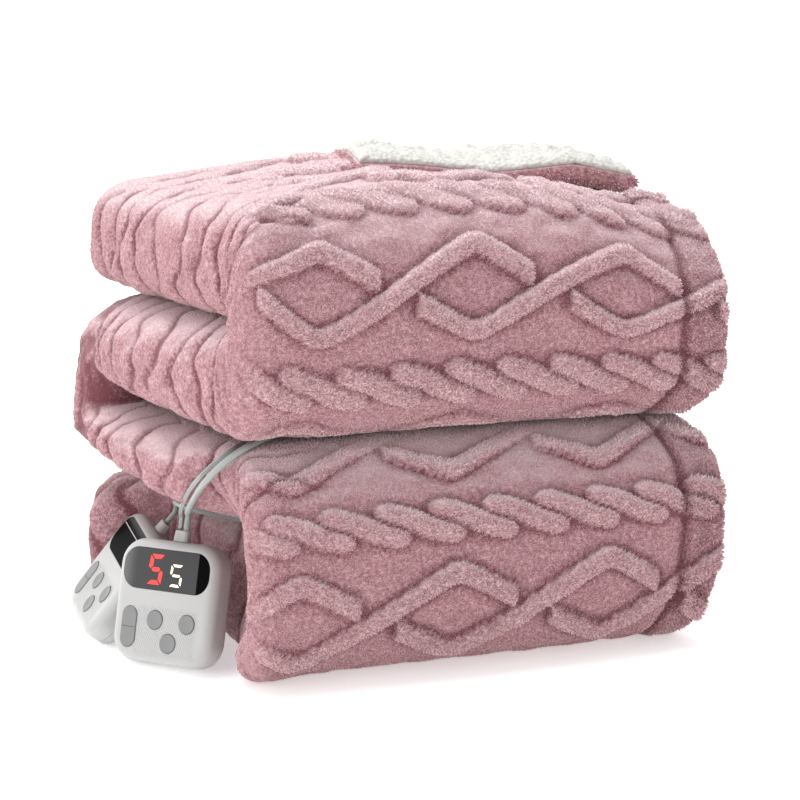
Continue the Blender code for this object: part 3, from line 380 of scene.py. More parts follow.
pattern = {"height": 0.0066, "sink": 0.0018, "diamondLength": 0.124, "diamondSwing": 0.0325, "peakRound": 0.985,
           "strandWidth": 0.0160, "strandFlat": 2.6, "crossingGap": 0.0165, "strandEnd": 0.003,
           "cableTurn": 0.043, "ropeLong": 0.036, "ropeSwing": 0.0112, "ropeWide": 0.0098, "ropeHigh": 1.1,
           "ropeBlunt": 6, "leftShare": 0.18,
           "repeat": 0.155, "phase": 0.082, "upperRow": 0.0203, "lowerRow": 0.1155, "skew": 0.019,
           "hemWidth": 0.032, "hemRise": 0.0026, "hemGroove": 0.0046, "hemSoft": 0.0034,
           "hemEase": 0.006}


def patternPlaces(run):
    # Place of each row in the pattern, with the middles of the two front faces held.
    rows, length = len(run["out"]), run["length"]
    upper = rowCounts["top"] + rowCounts["frontBend"] // 2
    lower = rows - 1 - rowCounts["hidden"] - rowCounts["frontBend"] // 2
    repeats = round((length[lower] - length[upper]) / pattern["repeat"])
    lowerPlace = pattern["lowerRow"] + repeats * pattern["repeat"]
    pace = (lowerPlace - pattern["upperRow"]) / (length[lower] - length[upper])
    between = pattern["upperRow"] + (length - length[upper]) * pace
    above = pattern["upperRow"] + (length - length[upper])
    below = lowerPlace + (length - length[lower])
    places = np.where(length < length[upper], above, np.where(length > length[lower], below, between))
    share = np.clip((np.arange(rows) - upper) / (lower - upper), 0.0, 1.0)
    return places[:, None], (pattern["skew"] * share)[:, None]


def ridge(distance, half):
    return np.sqrt(np.clip(1.0 - np.abs(distance / half) ** pattern["strandFlat"], 0.0, 1.0))


def sculpted(u, row):
    # 0 on the ground and 1 on the strands and the cable.
    repeat, length = pattern["repeat"], pattern["diamondLength"]
    beat = (row + repeat / 2) % repeat - repeat / 2
    across = math.cos(math.atan(2 * pattern["diamondSwing"] / length))
    height = np.zeros(np.broadcast(u, row).shape)
    for shift in (0.0, length):
        travel = (u - pattern["phase"] + shift) / (2 * length) % 1.0
        bent = np.abs(travel - 0.5)
        rounded = pattern["peakRound"]
        line = pattern["diamondSwing"] * np.arcsin(rounded * np.cos(2 * math.pi * bent)) / math.asin(rounded)
        fromCrossing = np.abs(bent - 0.25) * 2 * length
        low, high = pattern["crossingGap"] - pattern["strandEnd"], pattern["crossingGap"]
        shown = np.where(travel < 0.5, 1.0, smoothStep(fromCrossing, low, high))
        height = np.maximum(height, ridge((beat - line) * across, pattern["strandWidth"] / 2) * shown)
    fromCable = np.where(beat > 0, beat - repeat / 2, beat + repeat / 2)
    turn, long = pattern["cableTurn"], pattern["ropeLong"]
    for shift in (-1, 0, 1):                # a rope of strands that start high and end low
        place = np.clip((u / turn % 1.0 - 0.5 + shift) * turn / long, -1.0, 1.0) * math.pi / 2
        slope = pattern["ropeSwing"] * np.cos(place) * math.pi / 2 / long
        off = (fromCable + pattern["ropeSwing"] * np.sin(place)) / np.sqrt(1.0 + slope ** 2)
        inside = 1.0 - (off / pattern["ropeWide"]) ** 2 - (place / (math.pi / 2)) ** pattern["ropeBlunt"]
        height = np.maximum(height, pattern["ropeHigh"] * np.sqrt(np.clip(inside, 0.0, 1.0)))
    return height


# Creases laid over the left folds: part of the run, share of it, depth in mm
creases = {"width": 0.0034, "line": 0.0023, "swing": 0.0048, "wave": 0.085, "second": (0.3, 4.7),
           "phases": (1.7, 2.9), "start": (0.06, 0.02), "topReach": 0.06, "uneven": (0.6, 0.4, 2.3),
           "deepen": 1.35, "full": 3.0,
           "rows": ((0, 0.07, 2.2), (0, 0.20, 3.4), (0, 0.31, 2.4), (0, 0.45, 3.6), (0, 0.55, 2.0), (0, 0.68, 3.4),
                    (0, 0.80, 2.8), (0, 0.94, 3.4), (1, 0.10, 2.4), (1, 0.19, 1.8),
                    (2, 0.06, 2.6), (2, 0.20, 3.4), (2, 0.33, 2.4), (2, 0.48, 3.6), (2, 0.61, 2.4), (2, 0.75, 3.4),
                    (2, 0.90, 3.0), (3, 0.12, 2.4), (3, 0.34, 3.0), (3, 0.62, 3.0), (3, 0.88, 2.6),
                    (4, 0.12, 3.0), (4, 0.27, 2.4), (4, 0.44, 3.4), (4, 0.60, 2.4), (4, 0.77, 3.4), (4, 0.92, 2.6),
                    (5, 0.10, 2.4), (5, 0.24, 2.0), (6, 0.10, 2.6), (6, 0.24, 3.2), (6, 0.40, 2.4), (6, 0.57, 3.4),
                    (6, 0.66, 2.6), (6, 0.74, 3.0), (6, 0.83, 2.6), (6, 0.91, 3.4), (6, 0.98, 2.6))}


def creased(run, u, leftU):
    # Depth of the creases at each point, from narrow troughs that wander along the fold,
    # and how near the point is to the bottom of one, where a line of painted shade goes.
    starts = np.flatnonzero(np.r_[True, run["part"][1:] != run["part"][:-1]])
    ends = np.r_[starts[1:], len(run["part"]) - 1]
    total, creaseShadeLine = np.zeros(u.shape), np.zeros(u.shape)
    (weight, pace), (phase, secondPhase) = creases["second"], creases["phases"]
    (first, last), (least, more, step) = creases["start"], creases["uneven"]
    for k, (part, share, depth) in enumerate(creases["rows"]):
        low, high = run["length"][starts[part]], run["length"][ends[part]]
        swing = creases["swing"] * (np.sin(2 * math.pi * u / creases["wave"] + phase * k)
                                    + weight * np.sin(pace * math.pi * u / creases["wave"] + secondPhase * k))
        apart = run["length"][:, None] - low - share * (high - low) - swing
        before = creases["topReach"] * (least + more * math.sin(step * k)) if part == 0 else 0.0
        shown = smoothStep(u, leftU - first - before, leftU - last)
        trough = np.exp(-np.abs(apart) / creases["width"]) * shown
        total = np.maximum(total, trough * depth * creases["deepen"] / 1000)
        line = np.exp(-((apart / creases["line"]) ** 2)) * shown
        creaseShadeLine = np.maximum(creaseShadeLine, line * min(depth / creases["full"], 1.0))
    return total, creaseShadeLine


def hemRelief(u):
    band = pattern["hemRise"] * (1.0 - smoothStep(u, pattern["hemWidth"] - pattern["hemEase"], pattern["hemWidth"]))
    return band - pattern["hemGroove"] * np.exp(-(((u - pattern["hemWidth"]) / pattern["hemSoft"]) ** 2))


def softNoise(points, size, seed, waves=22, spread=(1.3, 2.6)):
    # Smooth unevenness with features of about this size, near -1 to 1.
    source = np.random.default_rng(seed)
    total = np.zeros(points.shape[:-1])
    for _ in range(waves):
        way = source.normal(size=3)
        way *= 2 * math.pi / (size * source.uniform(*spread)) / np.linalg.norm(way)
        total += np.sin(points @ way + source.uniform(0, 2 * math.pi))
    return total / math.sqrt(waves)


# --- the cloth

cloth = {"flat": (1.85, 1.37), "noise": 0.0007, "noiseSize": 0.011, "noiseSeed": 5, "leftSink": 0.0020,
         "deepest": 0.0052, "floorGap": 0.0008, "liningStep": 5,
         "flapShare": 15 / 26, "flapRadius": 0.0050, "flapBack": 0.006, "flapLength": 0.128, "flapShear": 0.036,
         "shearX": (0.02, 0.20), "flapLift": 0.0105, "flapEdge": 0.5, "tipAngle": 80,
         "flapTilt": ((0.16, 0.21, 0.27, 0.34, 0.39), (-0.007, -0.003, 0.0004, 0.012, 0.005)),
         "flapPuff": (0.28, 0.35, 0.007), "curlRows": 12, "flapRows": 24, "tipRows": 4}
# Where the plush stands free: shares of the bend and of the layer's half thickness, and ways in from an edge
free = {"bend": (0.2, 0.75), "bendSide": (-0.95, -0.5), "left": (0.86, 0.985), "top": 0.02, "rear": 0.022,
        "crease": (0.02, 0.2), "creaseSide": (-0.98, -0.8), "flapLeft": 0.043, "flapEase": (0.02, 0.03, 0.01),
        "underFlap": 0.9}
# How the relief fades and where painted shade goes: calm at the left folds, painted shade at the foot of a strand, in
# the hem groove and in a crease
relief = {"calm": 0.10, "nearLeft": (0.11, 0.06), "past": (0.8, 0.03), "bared": 0.75, "least": 0.2, "blur": 3,
          "foot": 2.2, "hemGrooveShade": 0.7, "hemSoft": 0.004, "under": 0.3, "parted": 0.92}
nap = {"ground": 0.0011, "pile": 0.0008, "calm": 0.42, "calmFrom": (0.03, 0.08), "hem": 0.0012, "foot": 0.6,
       "inner": 0.0017, "edge": 0.0026, "edgeCover": 0.6, "flap": 0.003}
patches = {"top": 1.0, "frontBend": 2.0, "lower": 3.0, "hidden": 4.0, "rearBend": 4.0}


def sectionColumns(run):
    # Columns of both sides from the hem at the right, through all five plies, to the hidden hem.
    rows = len(run["out"])
    pitch, half = fold["plyPitch"], fold["clothHalf"]
    squash = 1.0 + (fold["squashAtFront"] - 1.0) * run["front"]
    left = fold["edgeAtFront"] * run["front"] + squash * (2 * pitch + half)
    ends = {"hem": np.full(rows, fold["width"]),
            "right": np.full(rows, fold["innerFoldX"] - pitch / 2 - half),
            "left": left, "innerHem": left + fold["hemInset"]}
    columns = {"A": [], "B": []}
    segment = 0

    def flat(kind, ply, sign, start, end, countA, countB):
        nonlocal segment
        for side, way, count in (("A", sign, countA), ("B", -sign, countB)):
            first = 1 if columns[side] else 0
            for i in range(first, count + 1):
                x = ends[start] + (ends[end] - ends[start]) * i / count
                columns[side].append({"x": x, "n": np.full(rows, ply * pitch + way * half), "kind": kind,
                                      "path": segment + i / count})
        segment += 1

    def turnRound(kind, end, centre, radius, sign, fromAngle, toAngle, countA, countB):
        nonlocal segment
        for side, way, count in (("A", sign, countA), ("B", -sign, countB)):
            r = radius + way * half
            for i in range(1, count + 1):
                angle = math.radians(fromAngle + (toAngle - fromAngle) * i / count)
                power = 2.0 / fold["leftSquareness"] if end == "left" else 1.0
                across = max(math.cos(angle), 0.0) ** power
                along = math.copysign(abs(math.sin(angle)) ** power, angle)
                reach = -squash * r if end == "left" else np.full(rows, r)
                columns[side].append({"x": ends[end] + reach * across, "kind": kind,
                                      "n": np.full(rows, centre * pitch + r * along),
                                      "path": segment + i / count})
        segment += 1

    inner, fine = columnCounts["inner"], columnCounts
    flat("top", 2, 1, "hem", "left", fine["top"], fine["liningTop"])
    turnRound("left", "left", 0.0, 2 * pitch, 1, 90, -90, fine["left"], fine["liningLeft"])
    flat("under", -2, -1, "left", "right", fine["under"], inner)
    turnRound("inner", "right", -1.5, pitch / 2, 1, -90, 90, fine["rightFold"], fine["liningFold"])
    flat("inner", -1, 1, "right", "left", inner, inner)
    turnRound("inner", "left", 0.0, pitch, -1, -90, 90, fine["innerLeft"], fine["innerLeft"])
    flat("inner", 1, -1, "left", "right", inner, inner)
    turnRound("inner", "right", 0.5, pitch / 2, -1, 90, -90, fine["liningFold"], fine["rightFold"])
    flat("inner", 0, 1, "right", "innerHem", inner, inner)
    return columns


def reliefShown(run, kinds, x, n):
    # 1 where the plush stands free, 0 where the cloth lies on cloth or on the floor.
    radius = layer / 2
    sign, bend = run["turn"][:, None], run["bend"][:, None]

    def side(value, key):
        return smoothStep(value, free[key][0] * radius, free[key][1] * radius)

    inBend = smoothStep(bend, *free["bend"]) * side(sign * n, "bendSide")
    z = run["baseZ"][:, None] + run["up"][:, None] * (run["radius"] + run["turn"] * radius)[:, None]
    onTop = smoothStep(z, layer1 + layer - free["top"], layer1 + layer) * side(n, "bendSide")
    atLeft = (1.0 - side(np.abs(n), "left")) * (kinds == "left")[None, :]
    shown = np.maximum(np.maximum(inBend, onTop), atLeft)
    y = run["baseY"][:, None]
    flapX = fold["width"] + (free["flapLeft"] - fold["width"]) * cloth["flapShare"]
    flapY = fold["rearEnd"] - cloth["flapLength"]
    easeX, easeFar, easeNear = free["flapEase"]
    underFlap = smoothStep(x, flapX - easeX, flapX) * smoothStep(y, flapY - easeFar, flapY - easeNear)
    shown = shown * (1.0 - free["underFlap"] * underFlap * (run["kind"] == "top")[:, None])
    shown = shown * np.where(run["part"][:, None] == 0, smoothStep(fold["rearEnd"] - y, 0.0, free["rear"]), 1.0)
    nearCrease = smoothStep(bend, *free["crease"]) * side(sign * n, "creaseSide")
    return shown, np.maximum(shown, nearCrease)


def blurred(grid, reach):
    # Mean over a square of the grid, by summed rows and columns.
    for axis in (0, 1):
        pad = [(0, 0), (0, 0)]
        pad[axis] = (reach + 1, reach)
        total = np.cumsum(np.pad(grid, pad, mode="edge"), axis=axis)
        size = 2 * reach + 1
        upper = np.take(total, range(size, total.shape[axis]), axis=axis)
        lower = np.take(total, range(0, total.shape[axis] - size), axis=axis)
        grid = (upper - lower) / size
    return grid


def flapPath():
    # Middle line of the turned-back edge past the rear end, with side A's normal and half thickness.
    top = layer1 + layer / 2 + 2 * fold["plyPitch"]
    radius, half = cloth["flapRadius"], fold["clothHalf"]
    path = []
    for i in range(1, cloth["curlRows"] + 1):
        angle = math.pi * i / cloth["curlRows"]
        y = fold["rearEnd"] + cloth["flapBack"] + radius * math.sin(angle)
        path.append((y, top + radius * (1.0 - math.cos(angle)), -math.sin(angle), math.cos(angle), half))
    for i in range(1, cloth["flapRows"] + 1):
        share = i / cloth["flapRows"]
        thin = half * (1.0 - (1.0 - cloth["flapEdge"]) * share)
        y = fold["rearEnd"] + cloth["flapBack"] - cloth["flapLength"] * share
        lift = cloth["flapLift"] * min(share * 2.0, 1.0)
        path.append((y, top + 2 * radius + thin - half + lift, 0.0, -1.0, thin))
    edge = path[-1]
    for i in range(1, cloth["tipRows"] + 1):
        angle = math.radians(cloth["tipAngle"] * i / cloth["tipRows"])
        path.append((edge[0] - edge[4] * math.sin(angle), edge[1], 0.0, -1.0, edge[4] * math.cos(angle)))
    return path


def flapPoints(x, sign):
    # Rows of points over the flap: sign is 1 on the plush, -1 on the lining and 0 between them.
    rows = []
    x = np.asarray(x, float)
    skew = cloth["flapShear"] * smoothStep(fold["width"] - x, *cloth["shearX"])
    rear = fold["rearEnd"] + cloth["flapBack"]
    for y, z, normalY, normalZ, half in flapPath():
        across = x - skew * float(np.clip((rear - y) / cloth["flapLength"], 0.0, 1.0))
        rows.append([(value, y + sign * half * normalY, z + sign * half * normalZ) for value in across])
    points = settle(np.array(rows))
    turned = np.clip(np.arange(1, len(points) + 1) / cloth["curlRows"], 0.0, 1.0)[:, None]
    low, high, puff = cloth["flapPuff"]
    points[..., 2] += turned * np.interp(points[..., 0], *cloth["flapTilt"])
    points[..., 2] -= turned * puff * 0.5 * (1.0 + sign) * (0.5 + 0.5 * smoothStep(points[..., 0], low, high))
    return points


class Shell:
    # Points, faces and slots of one closed mesh.
    def __init__(self):
        self.points = []
        self.faces = []
        self.slots = []
        self.count = 0
        self.values = {"pile": [], "foot": [], "cover": [], "pileLength": [], "patch": []}

    def add(self, points, **values):
        start = self.count
        self.points.append(np.asarray(points, float).reshape(-1, 3))
        self.count += len(self.points[-1])
        for key, kept in self.values.items():
            given = values.get(key, 0.0)
            kept.append(np.broadcast_to(np.asarray(given, float), (len(self.points[-1]),)))
        return np.arange(start, self.count)

    def strip(self, first, second, slot, placesA=None, placesB=None):
        # Joins two lines of points. With places, the lines may have different counts.
        if placesA is None or (len(first) == len(second) and np.array_equal(placesA, placesB)):
            for i in range(len(first) - 1):
                self.faces.append((first[i], first[i + 1], second[i + 1], second[i]))
                self.slots.append(slot)
            return
        i = j = 0
        while i < len(first) - 1 or j < len(second) - 1:
            onFirst = j == len(second) - 1 or (i < len(first) - 1 and placesA[i + 1] <= placesB[j + 1])
            if onFirst:
                self.faces.append((first[i], first[i + 1], second[j]))
                i += 1
            else:
                self.faces.append((first[i], second[j + 1], second[j]))
                j += 1
            self.slots.append(slot)

    def triangle(self, *corners):
        self.faces.append(corners)
        self.slots.append(0)

    def mesh(self, name):
        data = bpy.data.meshes.new(name)
        points = np.concatenate(self.points)
        points[:, 2] = np.maximum(points[:, 2], cloth["floorGap"])
        points = points - middle
        data.from_pydata(points.tolist(), [], [tuple(int(v) for v in face) for face in self.faces])
        data.polygons.foreach_set("material_index", self.slots)
        for key, kept in self.values.items():
            held = data.attributes.new(key, "FLOAT", "POINT")
            held.data.foreach_set("value", np.concatenate(kept).astype(np.float32))
        facesOut(data)
        facing = np.empty(len(data.vertices) * 3, np.float32)
        data.vertices.foreach_get("normal", facing)
        # the finish turns this crown value into painted top light, lighter where the cloth faces up
        crown = data.attributes.new("crown", "FLOAT", "POINT")      # 1 where the cloth faces up
        crown.data.foreach_set("value", np.ascontiguousarray(facing[2::3]))
        return data


def distanceRound(x, n):
    # Distance of each column from the hem at the right, along the section.
    steps = np.hypot(np.diff(x, axis=1), np.diff(n, axis=1))
    return np.concatenate((np.zeros((len(x), 1)), np.cumsum(steps, axis=1)), 1)


def raiseRelief(run, x, n, kinds):
    # Height of the relief over side A's fine columns, and the values that the finish and the tufts read.
    u = distanceRound(x, n)
    places, skew = patternPlaces(run)
    shown, covered = reliefShown(run, kinds, x, n)
    topColumns, leftColumns = (int(np.sum(np.isin(kinds, names))) for names in (("top",), ("top", "left")))
    leftU, leftEnd = u[:, [topColumns - 1]], u[:, [leftColumns - 1]]
    calm = 1.0 - (1.0 - pattern["leftShare"]) * smoothStep(u, leftU - relief["calm"], leftU)
    far, near = relief["nearLeft"]
    nearLeft = smoothStep(u, leftU - far, leftU - near) * (1.0 - smoothStep(u, leftEnd + near, leftEnd + far))
    covered = np.maximum(covered, nearLeft)
    past, pastEase = relief["past"]
    calmBelow = np.maximum(calm, past * (1.0 - smoothStep(u, leftU, leftU + pastEase)))
    pile = sculpted(u - skew, places) * shown * np.where(run["part"][:, None] == 0, calm, calmBelow)
    rough = softNoise(placeInRun(run, x, n), cloth["noiseSize"], cloth["noiseSeed"])
    trough, creaseShadeLine = creased(run, u, leftU)
    bared = np.maximum(shown, relief["bared"] * nearLeft)
    trough, creaseShadeLine = trough * bared, creaseShadeLine * bared
    sink = pattern["sink"] + (cloth["leftSink"] - pattern["sink"]) * (kinds == "left")[None, :]
    height = (pattern["height"] * pile - sink) * shown + hemRelief(u) * shown
    height += cloth["noise"] * rough * np.minimum(shown + relief["least"], 1.0) - trough
    height = np.maximum(height, -cloth["deepest"])

    # painted shade at the foot of each strand, in the hem groove and along the crease lines; it also shortens the
    # tufts there
    foot = np.clip(blurred(pile, relief["blur"]) - pile, 0.0, 1.0) * relief["foot"]
    hem = pattern["hemWidth"]
    foot = foot + relief["hemGrooveShade"] * np.exp(-(((u - hem) / relief["hemSoft"]) ** 2)) + creaseShadeLine
    foot = np.clip(foot, 0.0, 1.0) * covered * np.where(kinds == "under", relief["under"], 1.0)[None, :]
    hemShare = 1.0 - smoothStep(u, hem - relief["hemSoft"], hem)
    napped = np.maximum((run["kind"] == "top")[:, None] * smoothStep(u, *nap["calmFrom"]),
                        (kinds == "left")[None, :])
    long = (nap["ground"] + nap["pile"] * pile) * (1.0 - nap["calm"] * napped) + nap["hem"] * hemShare
    long = long * (1.0 - nap["foot"] * foot)
    patch = np.array([patches[kind] for kind in run["kind"]])
    patch[(run["kind"] == "frontBend") & (run["baseZ"] < layer2)] = patches["lower"]
    return height, {"pile": pile, "foot": foot, "cover": covered * (1.0 - relief["parted"] * creaseShadeLine),
                    "pileLength": long, "patch": np.broadcast_to(patch[:, None], pile.shape)}


def clothMesh():
    run = runRows()
    rows = len(run["out"])
    grids = {}
    for side, found in sectionColumns(run).items():
        x, n = (np.stack([column[key] for column in found], axis=1) for key in ("x", "n"))
        grids[side] = {"x": x, "n": n, "kind": np.array([column["kind"] for column in found]),
                       "path": np.array([column["path"] for column in found])}
    a, b = grids["A"], grids["B"]
    fine = int(np.sum(a["kind"] != "inner"))
    kinds = a["kind"][:fine]
    height, extra = raiseRelief(run, a["x"][:, :fine], a["n"][:, :fine], kinds)
    radius = 2 * fold["plyPitch"] + fold["clothHalf"]
    outward = (kinds == "left")[None, :] * np.sqrt(np.clip(1.0 - (a["n"][:, :fine] / radius) ** 2, 0.0, 1.0))
    a["x"][:, :fine] -= height * outward
    a["n"][:, :fine] += height * a["n"][:, :fine] / radius

    kind, every = run["kind"], np.arange(rows)
    coarse = every[run["coarse"]]
    fineTop = every[run["coarse"] | (kind == "top") | (kind == "frontBend")]
    fineUnder = every[run["coarse"] | ((kind == "rearBend") & (every % 2 == 0))]
    fineLining = every[run["coarse"] | (every % cloth["liningStep"] == 0)]
    rowsOf = {"top": fineTop, "left": every, "under": fineUnder, "inner": coarse}

    shell = Shell()
    pointsA, pointsB = (settle(placeInRun(run, grid["x"], grid["n"])) for grid in (a, b))
    tip = fold["hemTip"] * fold["clothHalf"]
    hemX = np.full((rows, 1), fold["width"] + tip)
    hemPoints = settle(placeInRun(run, hemX, np.full((rows, 1), 2 * fold["plyPitch"])))
    innerX = a["x"][:, -1:] - tip
    innerPoints = settle(placeInRun(run, innerX, np.zeros_like(innerX)))
    lines = []                              # (rows, point numbers, slot), round the section
    for j in range(pointsA.shape[1]):
        own = rowsOf[a["kind"][j]]
        values = {"pileLength": nap["inner"]} if j >= fine else {key: grid[own, j] for key, grid in extra.items()}
        lines.append((own, shell.add(pointsA[own, j], **values), 0))
    lines.append((coarse, shell.add(innerPoints[coarse, 0]), 0))
    for j in reversed(range(pointsB.shape[1])):
        own = fineLining if b["kind"][j] == "left" else coarse
        lines.append((own, shell.add(pointsB[own, j]), 1))
    hemLine = (coarse, shell.add(hemPoints[coarse, 0], cover=nap["edgeCover"], pileLength=nap["edge"],
                                 patch=patches["frontBend"]), 0)
    lines.append(hemLine)
    for first, second in zip(lines, lines[1:] + lines[:1]):
        shell.strip(first[1], second[1], min(first[2], second[2]), first[0], second[0])

    countA, countB = pointsA.shape[1], pointsB.shape[1]
    lineA, innerHem = lines[:countA], lines[countA]
    lineB = lines[countA + 1:countA + 1 + countB][::-1]

    def endPoint(line, last):
        return line[1][-1 if last else 0]

    def cap(last, startA, startB):
        # Closes an end of the run from these columns on.
        idsA = [endPoint(line, last) for line in lineA[startA:]]
        idsB = [endPoint(line, last) for line in lineB[startB:]]
        shell.strip(idsA, idsB, 0, a["path"][startA:], b["path"][startB:])
        shell.triangle(idsA[-1], endPoint(innerHem, last), idsB[-1])

    cap(True, 0, 0)
    shell.triangle(endPoint(lineA[0], True), endPoint(hemLine, True), endPoint(lineB[0], True))
    flapA, flapB = (round(cloth["flapShare"] * columnCounts[key]) for key in ("top", "liningTop"))
    cap(False, flapA, flapB)

    # The flap goes on from the rest of the rear end, ring by ring, to its own edge.
    ring = [endPoint(line, False) for line in lineA[:flapA + 1]][::-1] + [endPoint(hemLine, False)]
    ring += [endPoint(line, False) for line in lineB[:flapB + 1]]
    xA, xB = a["x"][0, :flapA + 1][::-1], b["x"][0, :flapB + 1]
    over, under = flapPoints(xA, 1.0), flapPoints(xB, -1.0)
    side = flapPoints([fold["width"] + tip], 0.0)
    cover = np.r_[np.full(len(xA), 1.0), 1.0, np.zeros(len(xB))]
    for k in range(len(over)):
        row = np.concatenate((over[k], side[k], under[k]))
        following = shell.add(row, cover=cover, pileLength=nap["flap"], patch=patches["top"])
        shell.strip(list(ring) + [ring[0]], list(following) + [following[0]], 0)
        ring = following
    edgeA, edgeB = list(ring[:flapA + 1])[::-1], list(ring[flapA + 2:])
    shell.strip(edgeA, edgeB, 0, a["path"][:flapA + 1], b["path"][:flapB + 1])
    shell.triangle(edgeA[0], ring[flapA + 1], edgeB[0])
    return shell.mesh("plushBlanket")


# --- materials of the cloth

# deep is the colour of the painted shade, tip that of the painted highlight and crown that of the painted top light
rose = {"deep": (0.19, 0.068, 0.080), "ground": (0.56, 0.325, 0.350), "strand": (0.72, 0.49, 0.51),
        "tip": (0.90, 0.74, 0.75), "crown": (0.82, 0.705, 0.72), "tint": (1.0, 0.86, 0.87, 1.0), "sheen": 0.35,
        "clumpScale": 330.0, "blotchScale": 34.0, "fibreScale": 620.0, "crownFrom": (0.15, 0.95)}
# How much each cause lightens or darkens the pile, and the ground under it: painted light on the raised strands, the
# tips and the upward faces, painted shade at the roots, at the foot of a strand, in the creases and under the pile,
# and clumps, blotches and tufts that differ at random
weights = {"pile": 0.75, "clumps": 0.9, "blotches": 0.7, "base": 0.18, "tip": 0.95, "rootShade": 0.35, "foot": 0.62,
           "shade": 0.42, "groundFoot": 0.95, "groundClumps": 0.55, "underPileShade": 0.1, "crownFoot": 0.95,
           "crown": 0.52}


def rosePlush(name, onTufts):
    finish = Finish(name, rose["ground"], 0.95, Sheen_Weight=rose["sheen"], Sheen_Roughness=0.4,
                    Sheen_Tint=rose["tint"], Specular_IOR_Level=0.15)
    pile, foot = finish.number("pile"), finish.number("foot")
    clumps = finish.noise(rose["clumpScale"], 2.0)
    blotches = finish.noise(rose["blotchScale"], 3.0)
    crown = finish.number("crown").between(*rose["crownFrom"])
    # lighter on the raised strands than on the lower ground, as painted light and shade, and in clumps and blotches
    # at random
    light = pile * weights["pile"] + (clumps - 0.5) * weights["clumps"] + (blotches - 0.5) * weights["blotches"]
    light = (light + weights["base"]).between(0.0, 1.0)
    colour = finish.mix(light, rose["ground"], rose["strand"])
    if onTufts:
        tip, shade = finish.number("tip"), finish.number("shade")
        # painted highlight towards each tuft's tip, stronger on some tufts at random
        colour = finish.mix(tip.between(0.2, 1.0) * shade * weights["tip"], colour, rose["tip"])
        # painted shade at each tuft's root and at the foot of a strand, and darker tufts at random
        dark = (1.0 - tip) * weights["rootShade"] + foot * weights["foot"]
        dark = dark + (1.0 - shade).between(0.45, 1.0) * weights["shade"]
    else:
        # painted shade on the ground at the foot of a strand and under the pile, and darker clumps at random
        dark = foot * weights["groundFoot"] + (1.0 - clumps).between(0.3, 0.7) * weights["groundClumps"]
        dark = dark + weights["underPileShade"]
        finish.bump(finish.noise(rose["fibreScale"], 2.0), 0.0012, 0.8)
    colour = finish.mix(dark, colour, rose["deep"])
    # painted top light: lighter where the cloth faces up, less at the foot of a strand
    paintedTopLight = crown * (1.0 - foot * weights["crownFoot"]) * weights["crown"]
    finish.feed("Base Color", finish.mix(paintedTopLight, colour, rose["crown"]))
    return finish.material


sherpaLook = {"white": (0.54, 0.535, 0.505), "shade": (0.36, 0.35, 0.32), "curlScale": 280.0, "blotchScale": 60.0,
              "curls": 0.9, "blotches": 0.8, "shadeShare": 0.8}


def sherpaPile(name):
    finish = Finish(name, sherpaLook["white"], 0.95, Sheen_Weight=0.2, Specular_IOR_Level=0.15)
    curls = finish.node("TexVoronoi", {"feature": "F1"}, output="Distance", Vector=finish.place(),
                        Scale=sherpaLook["curlScale"])
    blotches = finish.noise(sherpaLook["blotchScale"], 3.0)
    # darker between the curls as painted shade, and in blotches at random
    share = (curls * sherpaLook["curls"] + (blotches - 0.5) * sherpaLook["blotches"]).between(0.35, 1.0)
    share = share * sherpaLook["shadeShare"]
    finish.feed("Base Color", finish.mix(share, sherpaLook["white"], sherpaLook["shade"]))
    finish.bump(1.0 - curls, 0.0016, 0.9)
    return finish.material


# --- the pile, as short tufts that stand on the cloth

tufts = {"width": 0.00080, "lean": 0.45, "turn": 3.1416, "uneven": (0.65, 1.35), "leastArea": 1e-4,
         "top": {"patch": 1.0, "count": 46000}, "upperFace": {"patch": 2.0, "count": 58000},
         "lowerFace": {"patch": 3.0, "count": 56000}, "sides": {"patch": 4.0, "count": 62000}}


